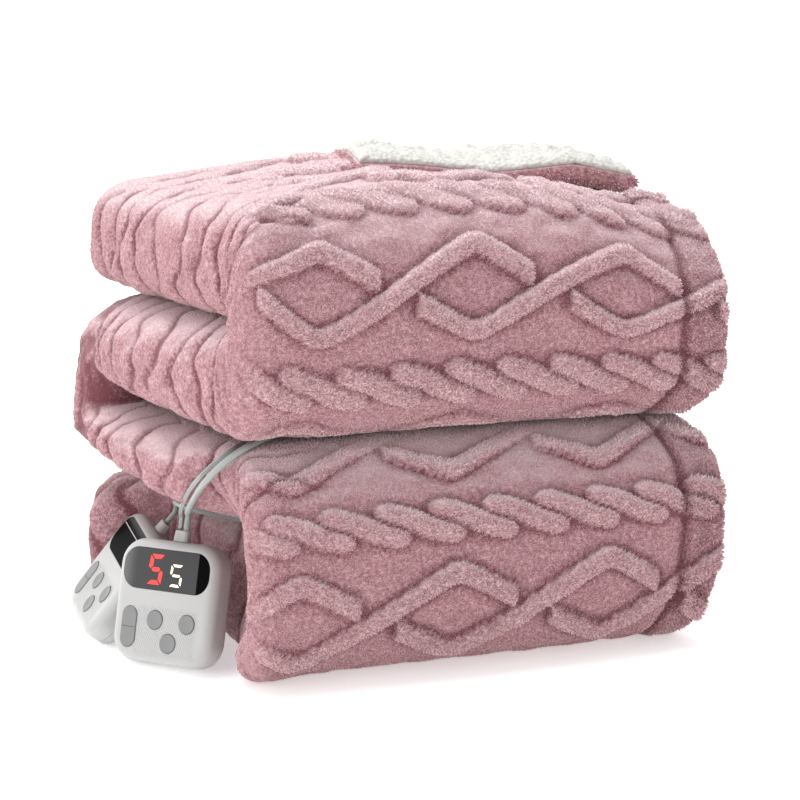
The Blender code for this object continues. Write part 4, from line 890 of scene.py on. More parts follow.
def tuftTree():
    tree = bpy.data.node_groups.new("standingPile", "GeometryNodeTree")
    face = tree.interface
    face.new_socket("Geometry", in_out="INPUT", socket_type="NodeSocketGeometry")
    for name, value in (("Density", 1000.0), ("Width", 0.001), ("Lean", 0.5), ("Patch", 1.0)):
        face.new_socket(name, in_out="INPUT", socket_type="NodeSocketFloat").default_value = value
    face.new_socket("Seed", in_out="INPUT", socket_type="NodeSocketInt").default_value = 3
    face.new_socket("Finish", in_out="INPUT", socket_type="NodeSocketMaterial")
    face.new_socket("Geometry", in_out="OUTPUT", socket_type="NodeSocketGeometry")

    def add(kind, settings=None, **links):
        node = tree.nodes.new(kind)
        for key, value in (settings or {}).items():
            setattr(node, key, value)
        for socket, value in links.items():
            numbered = socket[0] == "n" and socket[1:].isdigit()
            target = node.inputs[int(socket[1:]) if numbered else socket.replace("_", " ")]
            if isinstance(value, bpy.types.NodeSocket):
                tree.links.new(value, target)
            else:
                target.default_value = value
        return node

    given = add("NodeGroupInput").outputs

    def named(name):
        return add("GeometryNodeInputNamedAttribute", {"data_type": "FLOAT"}, Name=name).outputs["Attribute"]

    def maths(kind, first, second):
        return add("ShaderNodeMath", {"operation": kind}, n0=first, n1=second).outputs[0]

    same = add("ShaderNodeMath", {"operation": "COMPARE"}, n0=named("patch"), n1=given["Patch"], n2=0.5).outputs[0]
    density = maths("MULTIPLY", maths("MULTIPLY", named("cover"), same), given["Density"])
    spots = add("GeometryNodeDistributePointsOnFaces", Mesh=given["Geometry"], Density=density, Seed=given["Seed"])
    # One tuft is an open three-sided spike whose tip value rises from 0 to 1, which the finish paints from painted
    # shade at the root to a painted highlight at the tip.
    cone = add("GeometryNodeMeshCone", {"fill_type": "NONE"}, Vertices=3, Side_Segments=1, Radius_Top=0.0,
               Radius_Bottom=1.0, Depth=1.0)
    high = add("ShaderNodeSeparateXYZ", n0=add("GeometryNodeInputPosition").outputs[0]).outputs["Z"]
    marked = add("GeometryNodeStoreNamedAttribute", {"data_type": "FLOAT", "domain": "POINT"},
                 Geometry=cone.outputs["Mesh"], Name="tip", Value=high)
    lean, turn = given["Lean"], tufts["turn"]
    back = maths("MULTIPLY", lean, -1.0)
    low = add("ShaderNodeCombineXYZ", X=back, Y=back, Z=-turn).outputs[0]
    top = add("ShaderNodeCombineXYZ", X=lean, Y=lean, Z=turn).outputs[0]
    tilt = add("FunctionNodeRandomValue", {"data_type": "FLOAT_VECTOR"}, n0=low, n1=top, Seed=given["Seed"])
    asRotation = add("FunctionNodeEulerToRotation", n0=tilt.outputs[0])
    turned = add("FunctionNodeRotateRotation", {"rotation_space": "LOCAL"}, n0=spots.outputs["Rotation"],
                 n1=asRotation.outputs[0])
    least, most = tufts["uneven"]
    uneven = add("FunctionNodeRandomValue", {"data_type": "FLOAT"}, n2=least, n3=most, Seed=given["Seed"])
    long = maths("MULTIPLY", named("pileLength"), uneven.outputs[1])
    size = add("ShaderNodeCombineXYZ", X=given["Width"], Y=given["Width"], Z=long)
    placed = add("GeometryNodeInstanceOnPoints", Points=spots.outputs["Points"], Instance=marked.outputs[0],
                 Rotation=turned.outputs[0], Scale=size.outputs[0])
    shade = add("FunctionNodeRandomValue", {"data_type": "FLOAT"}, Seed=given["Seed"])
    shaded = add("GeometryNodeStoreNamedAttribute", {"data_type": "FLOAT", "domain": "INSTANCE"},
                 Geometry=placed.outputs[0], Name="shade", Value=shade.outputs[1])
    real = add("GeometryNodeRealizeInstances", Geometry=shaded.outputs[0])
    coloured = add("GeometryNodeSetMaterial", Geometry=real.outputs[0], Material=given["Finish"])
    add("NodeGroupOutput", n0=coloured.outputs[0])
    return tree


def runTree(name, tree, source, finish, **inputs):
    # Evaluates a tree over a copy of the source and gives the result as a plain mesh.
    holder = bpy.data.objects.new(name, source)
    bpy.context.scene.collection.objects.link(holder)
    made = holder.modifiers.new(name, "NODES")
    made.node_group = tree
    for item in tree.interface.items_tree:
        if item.in_out == "INPUT" and item.name in inputs:
            made[item.identifier] = inputs[item.name]
        elif item.in_out == "INPUT" and item.name == "Finish":
            made[item.identifier] = finish
    result = bpy.data.meshes.new_from_object(holder.evaluated_get(bpy.context.evaluated_depsgraph_get()))
    result.name = name
    bpy.data.objects.remove(holder)
    return result


def patchArea(data, patch):
    # Area of one patch, weighted by how much of it bears pile.
    cover, belongs = (np.empty(len(data.vertices), np.float32) for _ in range(2))
    data.attributes["cover"].data.foreach_get("value", cover)
    data.attributes["patch"].data.foreach_get("value", belongs)
    weight = cover * (np.abs(belongs - patch) < 0.5)
    return sum(face.area * float(weight[list(face.vertices)].mean()) for face in data.polygons)


def addTufts(source, finish, part, seed):
    about = tufts[part]
    area = patchArea(source, about["patch"])
    tree = bpy.data.node_groups.get("standingPile") or tuftTree()
    data = runTree(f"{part}Pile", tree, source, finish, Density=about["count"] / max(area, tufts["leastArea"]),
                   Width=tufts["width"], Lean=tufts["lean"], Patch=about["patch"], Seed=seed)
    piece = addPiece(f"{part}Pile", data, None)
    print(f"{part} pile: {len(data.polygons)} faces over {area:.3f} m2")
    return piece


# --- the sherpa on the turned-back edge

sherpa = {"gap": 0.0004, "thick": 0.0066, "round": 0.010, "lump": 0.0017, "lumpSize": 0.008,
          "noiseSeed": 8, "columns": 150, "extraRows": 12, "inset": 0.0015, "startRow": 1, "thinnest": 0.02}


def sherpaMesh():
    wide = np.linspace(fold["width"] - sherpa["inset"], sherpaLeft() + sherpa["inset"], sherpa["columns"] + 1)
    rows = flapPoints(wide, -1.0)[sherpa["startRow"]:-2]
    fineRows = np.linspace(0, len(rows) - 1, 2 * len(rows) + sherpa["extraRows"])
    rows = np.stack([[np.interp(fineRows, range(len(rows)), rows[:, j, k]) for j in range(rows.shape[1])]
                     for k in range(3)], -1).transpose(1, 0, 2)
    along, across = np.gradient(rows, axis=0), np.gradient(rows, axis=1)
    normal = np.cross(along, across)
    normal /= np.linalg.norm(normal, axis=-1, keepdims=True)
    if normal[-1, 0, 2] < 0:
        normal = -normal
    fromEnds = np.cumsum(np.linalg.norm(along, axis=-1), axis=0)
    fromSides = np.cumsum(np.linalg.norm(across, axis=-1), axis=1)
    near = np.minimum(np.minimum(fromEnds - fromEnds[:1], fromEnds[-1:] - fromEnds),
                      np.minimum(fromSides - fromSides[:, :1], fromSides[:, -1:] - fromSides))
    share = np.clip(1.0 - near / sherpa["round"], 0.0, 1.0)
    thick = sherpa["thick"] * np.sqrt(np.clip(1.0 - share ** 2, sherpa["thinnest"], 1.0))
    thick = thick + sherpa["lump"] * softNoise(rows, sherpa["lumpSize"], sherpa["noiseSeed"]) * (1.0 - share)
    shell = Shell()
    inner, outer = (shell.add(rows + normal * away).reshape(rows.shape[:2])
                    for away in (sherpa["gap"], sherpa["gap"] + thick[..., None]))
    for side in (inner, outer):
        for j in range(side.shape[1] - 1):
            shell.strip(list(side[:, j]), list(side[:, j + 1]), 0)
    for j in (0, -1):
        shell.strip(list(inner[:, j]), list(outer[:, j]), 0)
    for i in (0, -1):
        shell.strip(list(inner[i]), list(outer[i]), 0)
    return shell.mesh("sherpaLining")


def sherpaLeft():
    run = runRows()
    column = sectionColumns(run)["A"][round(cloth["flapShare"] * columnCounts["top"])]
    return float(column["x"][0])


roseSkin = rosePlush("rosePlushGround", False)
roseTufts = rosePlush("rosePlushPile", True)
whiteSherpa = sherpaPile("whiteSherpa")

blanketData = clothMesh()
for skin in (roseSkin, whiteSherpa):
    blanketData.materials.append(skin)
blanket = addPiece("plushBlanket", blanketData, None, ("blanket_cloth",), smooth=True)
print(f"cloth: {sum(len(face.vertices) - 2 for face in blanketData.polygons)} triangles")
pileParts = [addTufts(blanketData, roseTufts, part, 11 + i)
             for i, part in enumerate(("top", "upperFace", "lowerFace", "sides"))]
lining = addPiece("sherpaLining", sherpaMesh(), whiteSherpa, ("sherpa_lining",), smooth=True)


# --- the two controllers

control = {"width": 0.091, "height": 0.093, "depth": 0.026, "corner": 0.020, "edge": 0.0080, "cornerSteps": 10,
           "edgeSteps": 10, "flatInset": 0.0012, "leastRound": 0.00005, "seam": 0.010, "seamGap": 0.0003,
           "seamDeep": 0.0004, "touch": 0.0003, "clear": 0.01, "sharp": 32.0,
           "spots": {"controller_1": {"foot": (-0.0285, 0.1025), "turn": -56.0, "lean": 15.5, "roll": 2.3},
                     "controller_2": {"foot": (-0.0550, 0.2200), "turn": -93.0, "lean": 37.5, "roll": -7.0}}}
window = {"width": 0.079, "height": 0.0315, "corner": 0.013, "y": 0.0243, "gap": 0.00022, "sunk": 0.00012,
          "pocket": 0.0095, "block": 0.0092, "band": 0.0285}
keyShape = {"radius": 0.0070, "proud": 0.0008, "height": 0.0030, "dish": 0.0006, "rim": 0.0005, "pocket": 0.0034,
            "gap": 0.00045, "holeSteps": 14, "sides": 48, "dishShares": (0.84, 0.7, 0.55, 0.4, 0.25, 0.1),
            "dishEnd": 0.9,
            "spots": {"key_1": (-0.0056, -0.0133), "key_2": (0.0238, -0.0137), "key_3": (0.0084, -0.0297)}}
rocker = {"x": -0.0289, "y": -0.0206, "width": 0.0130, "height": 0.0305, "deep": 0.0024, "clear": 0.0004,
          "round": 0.0007, "flatInset": 0.0012, "split": 0.00045, "splitDeep": 0.0007, "splitLong": 0.02,
          "splitAbove": 0.002}
ribbing = {"pitch": 0.0019, "slant": 57.0, "x": (-0.0215, 0.0330), "y": (-0.0405, -0.0035), "fade": 0.0022}
figures = {"red": {"at": (-0.0098, 0.0242), "size": (0.0130, 0.0226), "bar": 0.0031, "lean": 0.10},
           "cream": {"at": (0.0093, 0.0212), "size": (0.0110, 0.0168), "bar": 0.0018, "lean": 0.08},
           "space": 0.0010, "lift": 0.00006, "base": 0.00004}
collar = {"x": 0.0020, "bottom": (0.0135, 0.0085, 0.0034), "top": (0.0119, 0.0072, 0.0028), "height": 0.0085,
          "round": 0.0009, "steps": 6, "neck": 0.9, "crown": 0.1, "sharp": 50.0}


def oblong(width, height, corner, inset=0.0, centre=(0.0, 0.0), steps=10):
    # Outline of a rounded rectangle.
    radius = max(corner - inset, control["leastRound"])
    outline = []
    for quarter, (signX, signY) in enumerate(((1, 1), (-1, 1), (-1, -1), (1, -1))):
        midX = centre[0] + signX * (width / 2 - inset - radius)
        midY = centre[1] + signY * (height / 2 - inset - radius)
        for i in range(steps + 1):
            angle = math.radians(90 * quarter + 90 * i / steps)
            outline.append((midX + radius * math.cos(angle), midY + radius * math.sin(angle)))
    return outline


def lofted(name, rings):
    # A closed mesh from rings of the same count, each a height and an outline.
    points = [(x, y, z) for z, outline in rings for x, y in outline]
    count = len(rings[0][1])
    faces = [tuple(range(count))[::-1], tuple(range(len(points) - count, len(points)))]
    for ring in range(len(rings) - 1):
        for i in range(count):
            j = (i + 1) % count
            low = ring * count
            faces.append((low + i, low + j, low + count + j, low + count + i))
    data = bpy.data.meshes.new(name)
    data.from_pydata(points, [], faces)
    return facesOut(data)


def cutWith(data, cutters, how="DIFFERENCE"):
    # The mesh after exact booleans with the cutters' meshes.
    piece = bpy.data.objects.new("cutting", data)
    bpy.context.scene.collection.objects.link(piece)
    tools = []
    for cutter in cutters:
        tool = bpy.data.objects.new("cutter", cutter)
        bpy.context.scene.collection.objects.link(tool)
        tools.append(tool)
        step = piece.modifiers.new("cut", "BOOLEAN")
        step.operation, step.solver, step.object = how, "EXACT", tool
    bpy.context.view_layer.update()
    made = bpy.data.meshes.new_from_object(piece.evaluated_get(bpy.context.evaluated_depsgraph_get()))
    for spare in [piece] + tools:
        bpy.data.objects.remove(spare, do_unlink=True)
    return made


def frameOf(spot):
    # Turned, leant back and rolled, with the lowest edge of the body on the floor.
    turn, lean, roll = (math.radians(spot[key]) for key in ("turn", "lean", "roll"))
    facing = Vector((math.sin(turn), -math.cos(turn), 0.0))
    right = Vector((math.cos(turn), math.sin(turn), 0.0))
    up = Vector((0.0, 0.0, 1.0)) * math.cos(lean) - facing * math.sin(lean)
    normal = facing * math.cos(lean) + Vector((0.0, 0.0, 1.0)) * math.sin(lean)
    right, up = (right * math.cos(roll) + up * math.sin(roll), up * math.cos(roll) - right * math.sin(roll))
    turned = Matrix((right, up, normal)).transposed().to_4x4()
    outside = [(x, y, side * (control["depth"] / 2 - control["edge"] * (1.0 - math.sin(math.pi / 6 * i))))
               for i in range(4) for side in (1, -1)
               for x, y in oblong(control["width"], control["height"], control["corner"],
                                  control["edge"] * (1.0 - math.cos(math.pi / 6 * i)), steps=5)]
    lowest = min((turned @ Vector(point)).z for point in outside)
    centre = Vector((*spot["foot"], 0.0)) + up * (control["height"] / 2) - normal * (control["depth"] / 2)
    return Matrix.Translation(Vector((centre.x, centre.y, -lowest)) - Vector(middle)) @ turned


def housingRings(shrink=0.0, seam=True):
    half, edge, steps = control["depth"] / 2 - shrink, control["edge"], control["edgeSteps"]
    size = (control["width"] - 2 * shrink, control["height"] - 2 * shrink, control["corner"] - shrink)
    line = -control["depth"] / 2 + control["seam"]
    flat = edge + control["flatInset"]
    angles = [math.pi / (2 * steps) * i for i in range(steps + 1)]
    rounded = [(edge * (1.0 - math.sin(angle)), edge * (1.0 - math.cos(angle))) for angle in angles]
    profile = [(-half, flat)] + [(-half + down, inset) for down, inset in reversed(rounded)]
    if seam:
        gap, deep = control["seamGap"], control["seamDeep"]
        profile += [(line - gap, 0.0), (line - gap / 2, deep), (line + gap / 2, deep), (line + gap, 0.0)]
    profile += [(half - down, inset) for down, inset in rounded] + [(half, flat)]
    return [(z, oblong(*size, inset=inset, steps=control["cornerSteps"])) for z, inset in profile]


def finishMesh(data, place, angle=control["sharp"]):
    # Keeps each point's own place on the controller, then sets the mesh where it stands.
    count = len(data.vertices)
    own = np.zeros(count * 3, np.float32)
    data.vertices.foreach_get("co", own)
    if "own" in data.attributes:
        data.attributes.remove(data.attributes["own"])
    data.attributes.new("own", "FLOAT_VECTOR", "POINT").data.foreach_set("vector", own)
    data.transform(place)
    data.polygons.foreach_set("use_smooth", [True] * len(data.polygons))
    data.set_sharp_from_angle(angle=math.radians(angle))
    return data


def ownPlace(finish):
    # x and y on the controller's face
    parts = finish.node("SeparateXYZ", Vector=finish.node("Attribute", {"attribute_name": "own"}, output="Vector"))
    outputs = parts.value.node.outputs
    return Wire(finish.tree, outputs["X"]), Wire(finish.tree, outputs["Y"])


housingLook = {"pale": (0.42, 0.42, 0.415), "groove": (0.27, 0.27, 0.27), "ribShadeShare": 0.36, "grooveDeep": -0.8,
               "grain": 0.05}


def housingFinish():
    finish = Finish("paleHousing", housingLook["pale"], 0.42, Specular_IOR_Level=0.4)
    x, y = ownPlace(finish)
    slant = math.radians(ribbing["slant"])
    wave = (x * math.sin(slant) + y * math.cos(slant)) * (2 * math.pi / ribbing["pitch"])
    ribs = wave.join("SINE") * 0.5 + 0.5
    (left, right), (bottom, top), fade = ribbing["x"], ribbing["y"], ribbing["fade"]
    inside = x.between(left - fade, left) * (1.0 - x.between(right - fade, right + fade))
    inside = inside * y.between(bottom - fade, bottom + fade) * (1.0 - y.between(top - fade, top + fade))
    grooved = ribs * inside
    # painted shade in the grooves of the ribbing, which the bump also sinks
    finish.feed("Base Color", finish.mix(grooved * housingLook["ribShadeShare"], housingLook["pale"],
                                         housingLook["groove"]))
    grain = finish.noise(900.0, 2.0) * housingLook["grain"]
    finish.bump(grooved * housingLook["grooveDeep"] + grain, 0.0004, 0.8)
    return finish.material


# left is a painted reflection on the lit lens, upper and line a painted reflection on the dark lens, and band the
# printed black band
lensLook = {"glass": (0.06, 0.06, 0.062), "lit": (0.066, 0.066, 0.068), "left": (0.16, 0.16, 0.16),
            "leftReflectionWide": 0.013, "leftShare": 0.8, "dark": (0.003, 0.003, 0.003), "upper": (0.07, 0.07, 0.07),
            "upperReflectionFrom": (0.0330, 0.0395), "line": (0.5, 0.5, 0.5), "reflectionLineFrom": (0.0312, 0.0316),
            "reflectionLineTo": (0.0320, 0.0324), "reflectionLineLeft": (-0.0365, -0.0355), "band": (0.004, 0.004, 0.004),
            "bandEase": 0.0002}


def lensFinish(name, lit):
    finish = Finish(name, lensLook["glass"], 0.22, Specular_IOR_Level=0.12, IOR=1.1)
    x, y = ownPlace(finish)
    edge, ease = -window["width"] / 2, lensLook["bandEase"]
    # painted reflection: the lit lens is lighter towards its left end
    left = 1.0 - x.between(edge, edge + lensLook["leftReflectionWide"])
    colour = finish.mix(left * lensLook["leftShare"], lensLook["lit"], lensLook["left"])
    if not lit:                             # dark glass with a painted reflection: grey along its upper edge and a pale line just below
        colour = finish.mix(y.between(*lensLook["upperReflectionFrom"]), lensLook["dark"], lensLook["upper"])
        line = y.between(*lensLook["reflectionLineFrom"]) * (1.0 - y.between(*lensLook["reflectionLineTo"]))
        colour = finish.mix(line * x.between(*lensLook["reflectionLineLeft"]), colour, lensLook["line"])
    band = x.between(window["band"] - ease, window["band"] + ease)
    finish.feed("Base Color", finish.mix(band, colour, lensLook["band"]))
    return finish.material


def keyFinish(name):
    finish = Finish(name, (0.205, 0.205, 0.205), 0.5, Specular_IOR_Level=0.35)
    finish.bump(finish.noise(1100.0, 2.0), 0.0002, 0.3)
    return finish.material


def glow(name, colour, strength):
    return Finish(name, colour, 0.5, Emission_Color=(*colour, 1.0), Emission_Strength=strength).material


def figureFive(shape):
    # The five lit bars of a figure 5, as thin prisms over the lens.
    wide, high = (size / 2 for size in shape["size"])
    bar, space = shape["bar"], figures["space"]
    half = bar / 2
    upper = [(-wide, high - space), (-wide + bar, high - bar - space), (-wide + bar, half + space),
             (-wide + bar * 0.4, space * 0.7), (-wide, space + bar * 0.3)]
    top = [(-wide + space, high), (-wide + bar + space, high - bar), (wide - bar - space, high - bar),
           (wide - space, high)]
    across = [(-wide + bar * 0.5 + space, 0.0), (-wide + bar + space, -half), (wide - bar - space, -half),
              (wide - bar * 0.5 - space, 0.0), (wide - bar - space, half), (-wide + bar + space, half)]
    bars = [top, upper, across, [(-x, -y) for x, y in upper], [(-x, -y) for x, y in top]]
    points, faces = [], []
    for outline in bars:
        start, count = len(points), len(outline)
        for z in (0.0, figures["lift"]):
            points += [(shape["at"][0] + x + shape["lean"] * y, shape["at"][1] + y, z) for x, y in outline]
        faces += [tuple(range(start, start + count))[::-1], tuple(range(start + count, start + 2 * count))]
        faces += [(start + i, start + (i + 1) % count, start + count + (i + 1) % count, start + count + i)
                  for i in range(count)]
    data = bpy.data.meshes.new("figureFive")
    face = control["depth"] / 2 + figures["base"]
    data.from_pydata([(x, y, z + face) for x, y, z in points], [], faces)
    return data


def dishedKey(radius):
    # Rings of a round key, turned from its profile, with a shallow dish.
    face, rim, sides = control["depth"] / 2 + keyShape["proud"], keyShape["rim"], keyShape["sides"]
    profile = [(radius, face - keyShape["height"]), (radius, face - rim)]
    for angle in map(math.radians, (30, 60, 90)):
        profile.append((radius - rim * (1 - math.cos(angle)), face - rim * (1 - math.sin(angle))))
    for share in keyShape["dishShares"]:
        dish = keyShape["dish"] * math.cos(share / keyShape["dishEnd"] * math.pi / 2)
        profile.append((radius * share, face - dish))
    turns = [2 * math.pi * i / sides for i in range(sides)]
    return [(z, [(r * math.cos(turn), r * math.sin(turn)) for turn in turns]) for r, z in profile]


def rockerMesh():
    face, edge = control["depth"] / 2 + keyShape["proud"], rocker["round"]
    size = (rocker["width"], rocker["height"], rocker["width"] / 2)
    rings = [(face - rocker["deep"], oblong(*size))]
    for angle in map(math.radians, (0, 30, 60, 90)):
        rings.append((face - edge * (1 - math.sin(angle)), oblong(*size, inset=edge * (1 - math.cos(angle)))))
    rings.append((face, oblong(*size, inset=rocker["flatInset"])))
    slot = oblong(rocker["splitLong"], rocker["split"], rocker["split"] / 2.5, steps=3)
    split = lofted("split", [(face - rocker["splitDeep"], slot), (face + rocker["splitAbove"], slot)])
    return cutWith(lofted("rocker", rings), [split])


def collarMesh():
    height, low, top = collar["height"], np.array(collar["bottom"]), np.array(collar["top"])
    rings = []
    for i in range(collar["steps"] + 1):
        share = i / collar["steps"]
        rings.append((height * share * collar["neck"], oblong(*(low + (top - low) * share))))
    for angle in map(math.radians, (30, 60, 90)):
        z = height * collar["neck"] + height * collar["crown"] * math.sin(angle)
        rings.append((z, oblong(*collar["top"], inset=collar["round"] * (1 - math.cos(angle)))))
    return lofted("collar", rings)


paleHousing = housingFinish()
lenses = {"controller_1": lensFinish("litLens", True), "controller_2": lensFinish("darkLens", False)}
midKeys = keyFinish("midGreyKeys")
redGlow = glow("redFigure", (1.0, 0.035, 0.03), 1.1)
creamGlow = glow("creamFigure", (1.0, 0.86, 0.62), 1.0)


def buildController(name, spot):
    place = frameOf(spot)
    face, gap = control["depth"] / 2, keyShape["gap"]

    def prism(title, deep, outline):
        return lofted(title, [(face - deep, outline), (face + control["clear"], outline)])

    opening = dict(width=window["width"], height=window["height"], corner=window["corner"],
                   centre=(0.0, window["y"]))
    cutters = [prism("opening", window["pocket"], oblong(**opening))]
    wide, narrow = 2 * (keyShape["radius"] + gap), rocker["width"] + 2 * gap
    holes = [(wide, wide, spot) for spot in keyShape["spots"].values()]
    holes.append((narrow, rocker["height"] + 2 * rocker["clear"], (rocker["x"], rocker["y"])))
    for width, height, centre in holes:
        hole = oblong(width, height, width / 2, centre=centre, steps=keyShape["holeSteps"])
        cutters.append(prism("hole", keyShape["pocket"], hole))
    housing = cutWith(lofted("housing", housingRings()), cutters)
    addPiece(f"{name}Housing", finishMesh(housing, place), paleHousing,
             (f"{name}_front_shell", f"{name}_back_shell"))

    block = prism("lensBlock", window["block"], oblong(inset=window["gap"], **opening))
    lens = cutWith(lofted("lens", housingRings(window["sunk"], False)), [block], "INTERSECT")
    addPiece(f"{name}Lens", finishMesh(lens, place), lenses[name], (f"{name}_display",))
    for colour, finish in (("red", redGlow), ("cream", creamGlow)) if name == "controller_1" else ():
        addPiece(f"{name}{colour.capitalize()}Figure", finishMesh(figureFive(figures[colour]), place), finish)

    moved = [(key, lofted(key, dishedKey(keyShape["radius"])), spot) for key, spot in keyShape["spots"].items()]
    moved.append(("rocker", rockerMesh(), (rocker["x"], rocker["y"])))
    for key, data, (x, y) in moved:
        data.transform(Matrix.Translation((x, y, 0.0)))
        addPiece(f"{name}{key.replace('_', '').capitalize()}", finishMesh(data, place), midKeys,
                 (f"{name}_{key}",), f"{name}_{key}")

    data = collarMesh()
    data.transform(Matrix.Translation((collar["x"], control["height"] / 2 + control["touch"], 0.0))
                   @ Matrix.Rotation(-math.pi / 2, 4, "X"))
    addPiece(f"{name}Collar", finishMesh(data, place, collar["sharp"]), paleHousing,
             (f"{name}_collar",))
    return place


places = {name: buildController(name, spot) for name, spot in control["spots"].items()}
print("controllers built")


# --- the leads: from a collar into a crease, then wound flat between the layers

leads = {"approach": 0.012, "stub": 2.6, "sides": 14, "spacing": 1.1, "pitch": 1.06, "tightest": 3.2,
         "curveSteps": 24, "straightSteps": 12, "turnSteps": 24, "lobe": 0.29,
         "lead_1_twin": {"from": "controller_1", "offset": -0.0032, "diameter": 0.0034, "length": 1.2, "twin": True,
                         "route": ((-0.0008, 0.1197, 0.1184), (-0.0061, 0.0906, 0.1373), (-0.0098, 0.0566, 0.1567),
                                   (-0.0014, 0.0474, 0.1692), (0.0107, 0.0452, 0.1783), (0.0233, 0.0551, 0.1809)),
                         "inside": ((0.050, 0.088), (0.090, 0.096)),
                         "hank": {"at": (0.160, 0.160), "straight": 0.060, "width": 0.070,
                                  "z": layer3 + layer + fold["bundleGap"] / 2}},
         "lead_1_main": {"from": "controller_1", "offset": 0.0030, "diameter": 0.0050, "length": 1.8, "twin": False,
                         "route": ((0.0014, 0.1103, 0.1189), (-0.0040, 0.0800, 0.1372), (-0.0075, 0.0459, 0.1574),
                                   (0.0034, 0.0358, 0.1728), (0.0163, 0.0350, 0.1811), (0.0259, 0.0421, 0.1820)),
                         "inside": ((0.060, 0.074), (0.110, 0.084), (0.175, 0.086), (0.212, 0.087)),
                         "hank": {"at": (0.280, 0.160), "straight": 0.050, "width": 0.100,
                                  "z": layer3 + layer + fold["bundleGap"] / 2}},
         "lead_2_main": {"from": "controller_2", "offset": 0.0, "diameter": 0.0043, "length": 1.8, "twin": False,
                         "route": ((0.0210, 0.1930, 0.1040), (0.0150, 0.1750, 0.1090)),
                         "inside": ((-0.010, 0.163), (0.012, 0.150), (0.045, 0.128), (0.090, 0.108), (0.125, 0.102)),
                         "hank": {"at": (0.202, 0.165), "straight": 0.050, "width": 0.094,
                                  "z": layer + fold["lowerGap"] / 2}}}


def smoothRoute(points, spacing):
    # Evenly spaced points on one smooth curve through the route's own points.
    knots = np.array(points)
    padded = np.vstack((2 * knots[0] - knots[1], knots, 2 * knots[-1] - knots[-2]))
    t = np.linspace(0.0, 1.0, leads["curveSteps"], endpoint=False)[:, None]
    dense = [0.5 * (2 * b + (c - a) * t + (2 * a - 5 * b + 4 * c - d) * t ** 2 + (3 * b - a - 3 * c + d) * t ** 3)
             for a, b, c, d in zip(padded, padded[1:], padded[2:], padded[3:])]
    return resampled(np.vstack(dense + [knots[-1:]]), spacing)


def lengthsAlong(points):
    steps = np.linalg.norm(np.diff(points, axis=0), axis=1)
    return np.concatenate(([0.0], np.cumsum(steps)))


def resampled(points, spacing):
    lengths = lengthsAlong(points)
    wanted = np.linspace(0.0, lengths[-1], max(4, round(lengths[-1] / spacing)) + 1)
    return np.stack([np.interp(wanted, lengths, points[:, k]) for k in range(3)], axis=1)


def flatSpiral(hank, diameter, wanted):
    # Turns side by side in an oblong, from the outermost one inwards, until the wanted length is wound.
    (x, y), straight, steps = hank["at"], hank["straight"] / 2, leads["turnSteps"]
    radius, pitch = hank["width"] / 2 - diameter / 2, diameter * leads["pitch"]
    points, total = [], 0.0
    side = -1.0
    while total < wanted and radius > leads["tightest"] * diameter:
        for share in np.linspace(-1.0, 1.0, leads["straightSteps"], endpoint=False):
            points.append((x + side * radius, y - side * share * straight, hank["z"]))
        for i in range(steps):
            angle = math.pi * i / steps
            r = radius - pitch / 2 * i / steps
            points.append((x + side * r * math.cos(angle), y - side * (straight + r * math.sin(angle)), hank["z"]))
        total += 2 * straight + math.pi * radius
        radius -= pitch / 2
        side = -side
    return np.array(points)


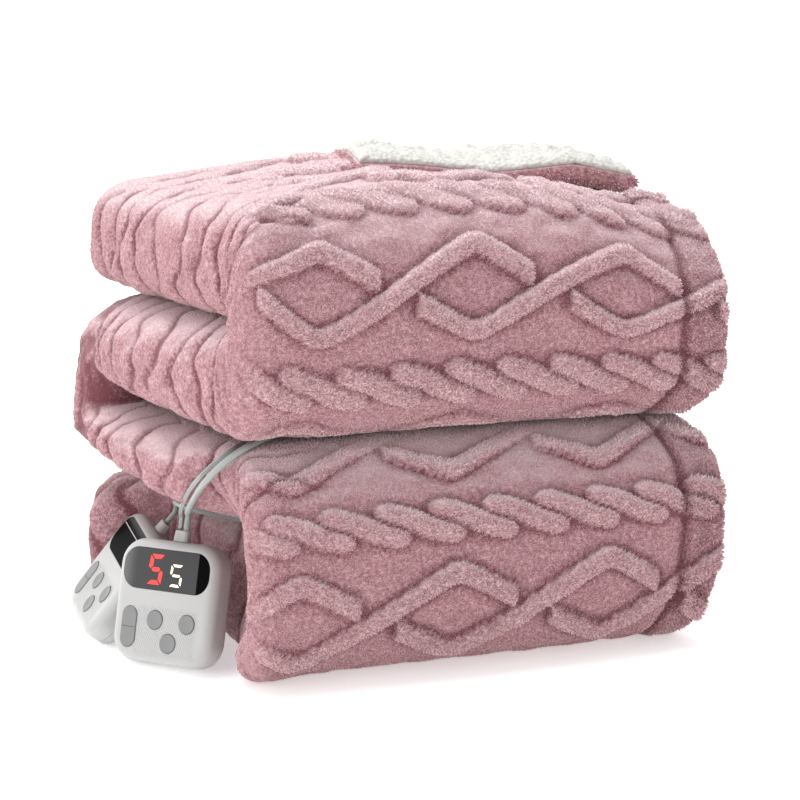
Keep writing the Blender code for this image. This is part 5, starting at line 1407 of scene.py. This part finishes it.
def tubeMesh(name, points, diameter, twin, right):
    # A round jacket, or two thin ones side by side, swept along the line.
    sides, count = leads["sides"], len(points)
    tangents = np.gradient(points, axis=0)
    tangents /= np.linalg.norm(tangents, axis=1, keepdims=True)
    first = np.empty_like(points)
    across = np.array(right, float)
    for k, way in enumerate(tangents):      # carried along without twisting
        across = across - way * float(across @ way)
        across /= np.linalg.norm(across)
        first[k] = across
    second = np.cross(tangents, first)
    angles = np.linspace(0.0, 2 * math.pi, sides * (2 if twin else 1), endpoint=False)
    reach = diameter / 2
    if twin:
        lobe = diameter * leads["lobe"]
        apart = diameter / 2 - lobe
        reach = np.abs(np.cos(angles)) * apart
        reach = reach + np.sqrt(np.clip(lobe ** 2 - (np.sin(angles) * apart) ** 2, 0.0, None))
    across, along = reach * np.cos(angles), reach * np.sin(angles)
    rings = points[:, None] + across[None, :, None] * first[:, None] + along[None, :, None] * second[:, None]
    size = len(angles)
    faces = [(k * size + i, k * size + (i + 1) % size, (k + 1) * size + (i + 1) % size, (k + 1) * size + i)
             for k in range(count - 1) for i in range(size)]
    faces += [tuple(range(size))[::-1], tuple(range((count - 1) * size, count * size))]
    data = bpy.data.meshes.new(name)
    data.from_pydata(rings.reshape(-1, 3).tolist(), [], faces)
    return facesOut(data)


def leadFinish():
    finish = Finish("greyLead", (0.31, 0.335, 0.325), 0.38, Specular_IOR_Level=0.45)
    finish.bump(finish.noise(500.0, 2.0), 0.0002, 0.15)
    return finish.material


greyLead = leadFinish()
for name in ("lead_1_twin", "lead_1_main", "lead_2_main"):
    lead, diameter = leads[name], leads[name]["diameter"]
    place, hank = places[lead["from"]], lead["hank"]
    spacing = leads["spacing"] * diameter
    top = control["height"] / 2 + control["touch"] + collar["height"] + control["touch"]
    x = collar["x"] + lead["offset"]
    start, straight = (np.array(place @ Vector((x, y, 0.0))) + middle for y in (top, top + leads["stub"] * diameter))
    half = hank["width"] / 2
    entryX = hank["at"][0] - half + diameter / 2
    entryY = hank["at"][1] - hank["straight"] / 2
    miss = math.sqrt(half ** 2 - (half - diameter) ** 2) + 4 * control["touch"]
    inside = [(px, py, hank["z"]) for px, py in lead["inside"]]
    inside += [(entryX, entryY - back, hank["z"]) for back in (miss + leads["approach"], miss, miss / 2)]
    knots = [tuple(start), tuple((start + straight) / 2), tuple(straight), *lead["route"]]
    route = smoothRoute(knots + [tuple(point) for point in settle(np.array(inside))], spacing)
    wound = settle(flatSpiral(hank, diameter, lead["length"] - lengthsAlong(route)[-1]))
    line = resampled(np.vstack((route, wound)), spacing)
    lengths = lengthsAlong(line)
    line = line[lengths <= lead["length"]] - middle
    title = name.replace("_", "")
    data = tubeMesh(title, line, diameter, lead["twin"], place.to_3x3().col[0])
    tube = addPiece(f"{title}Jacket", data, greyLead, (name, f"{name}_hank"), smooth=True)
    print(f"{name}: {min(lengths[-1], lead['length']):.3f} m")
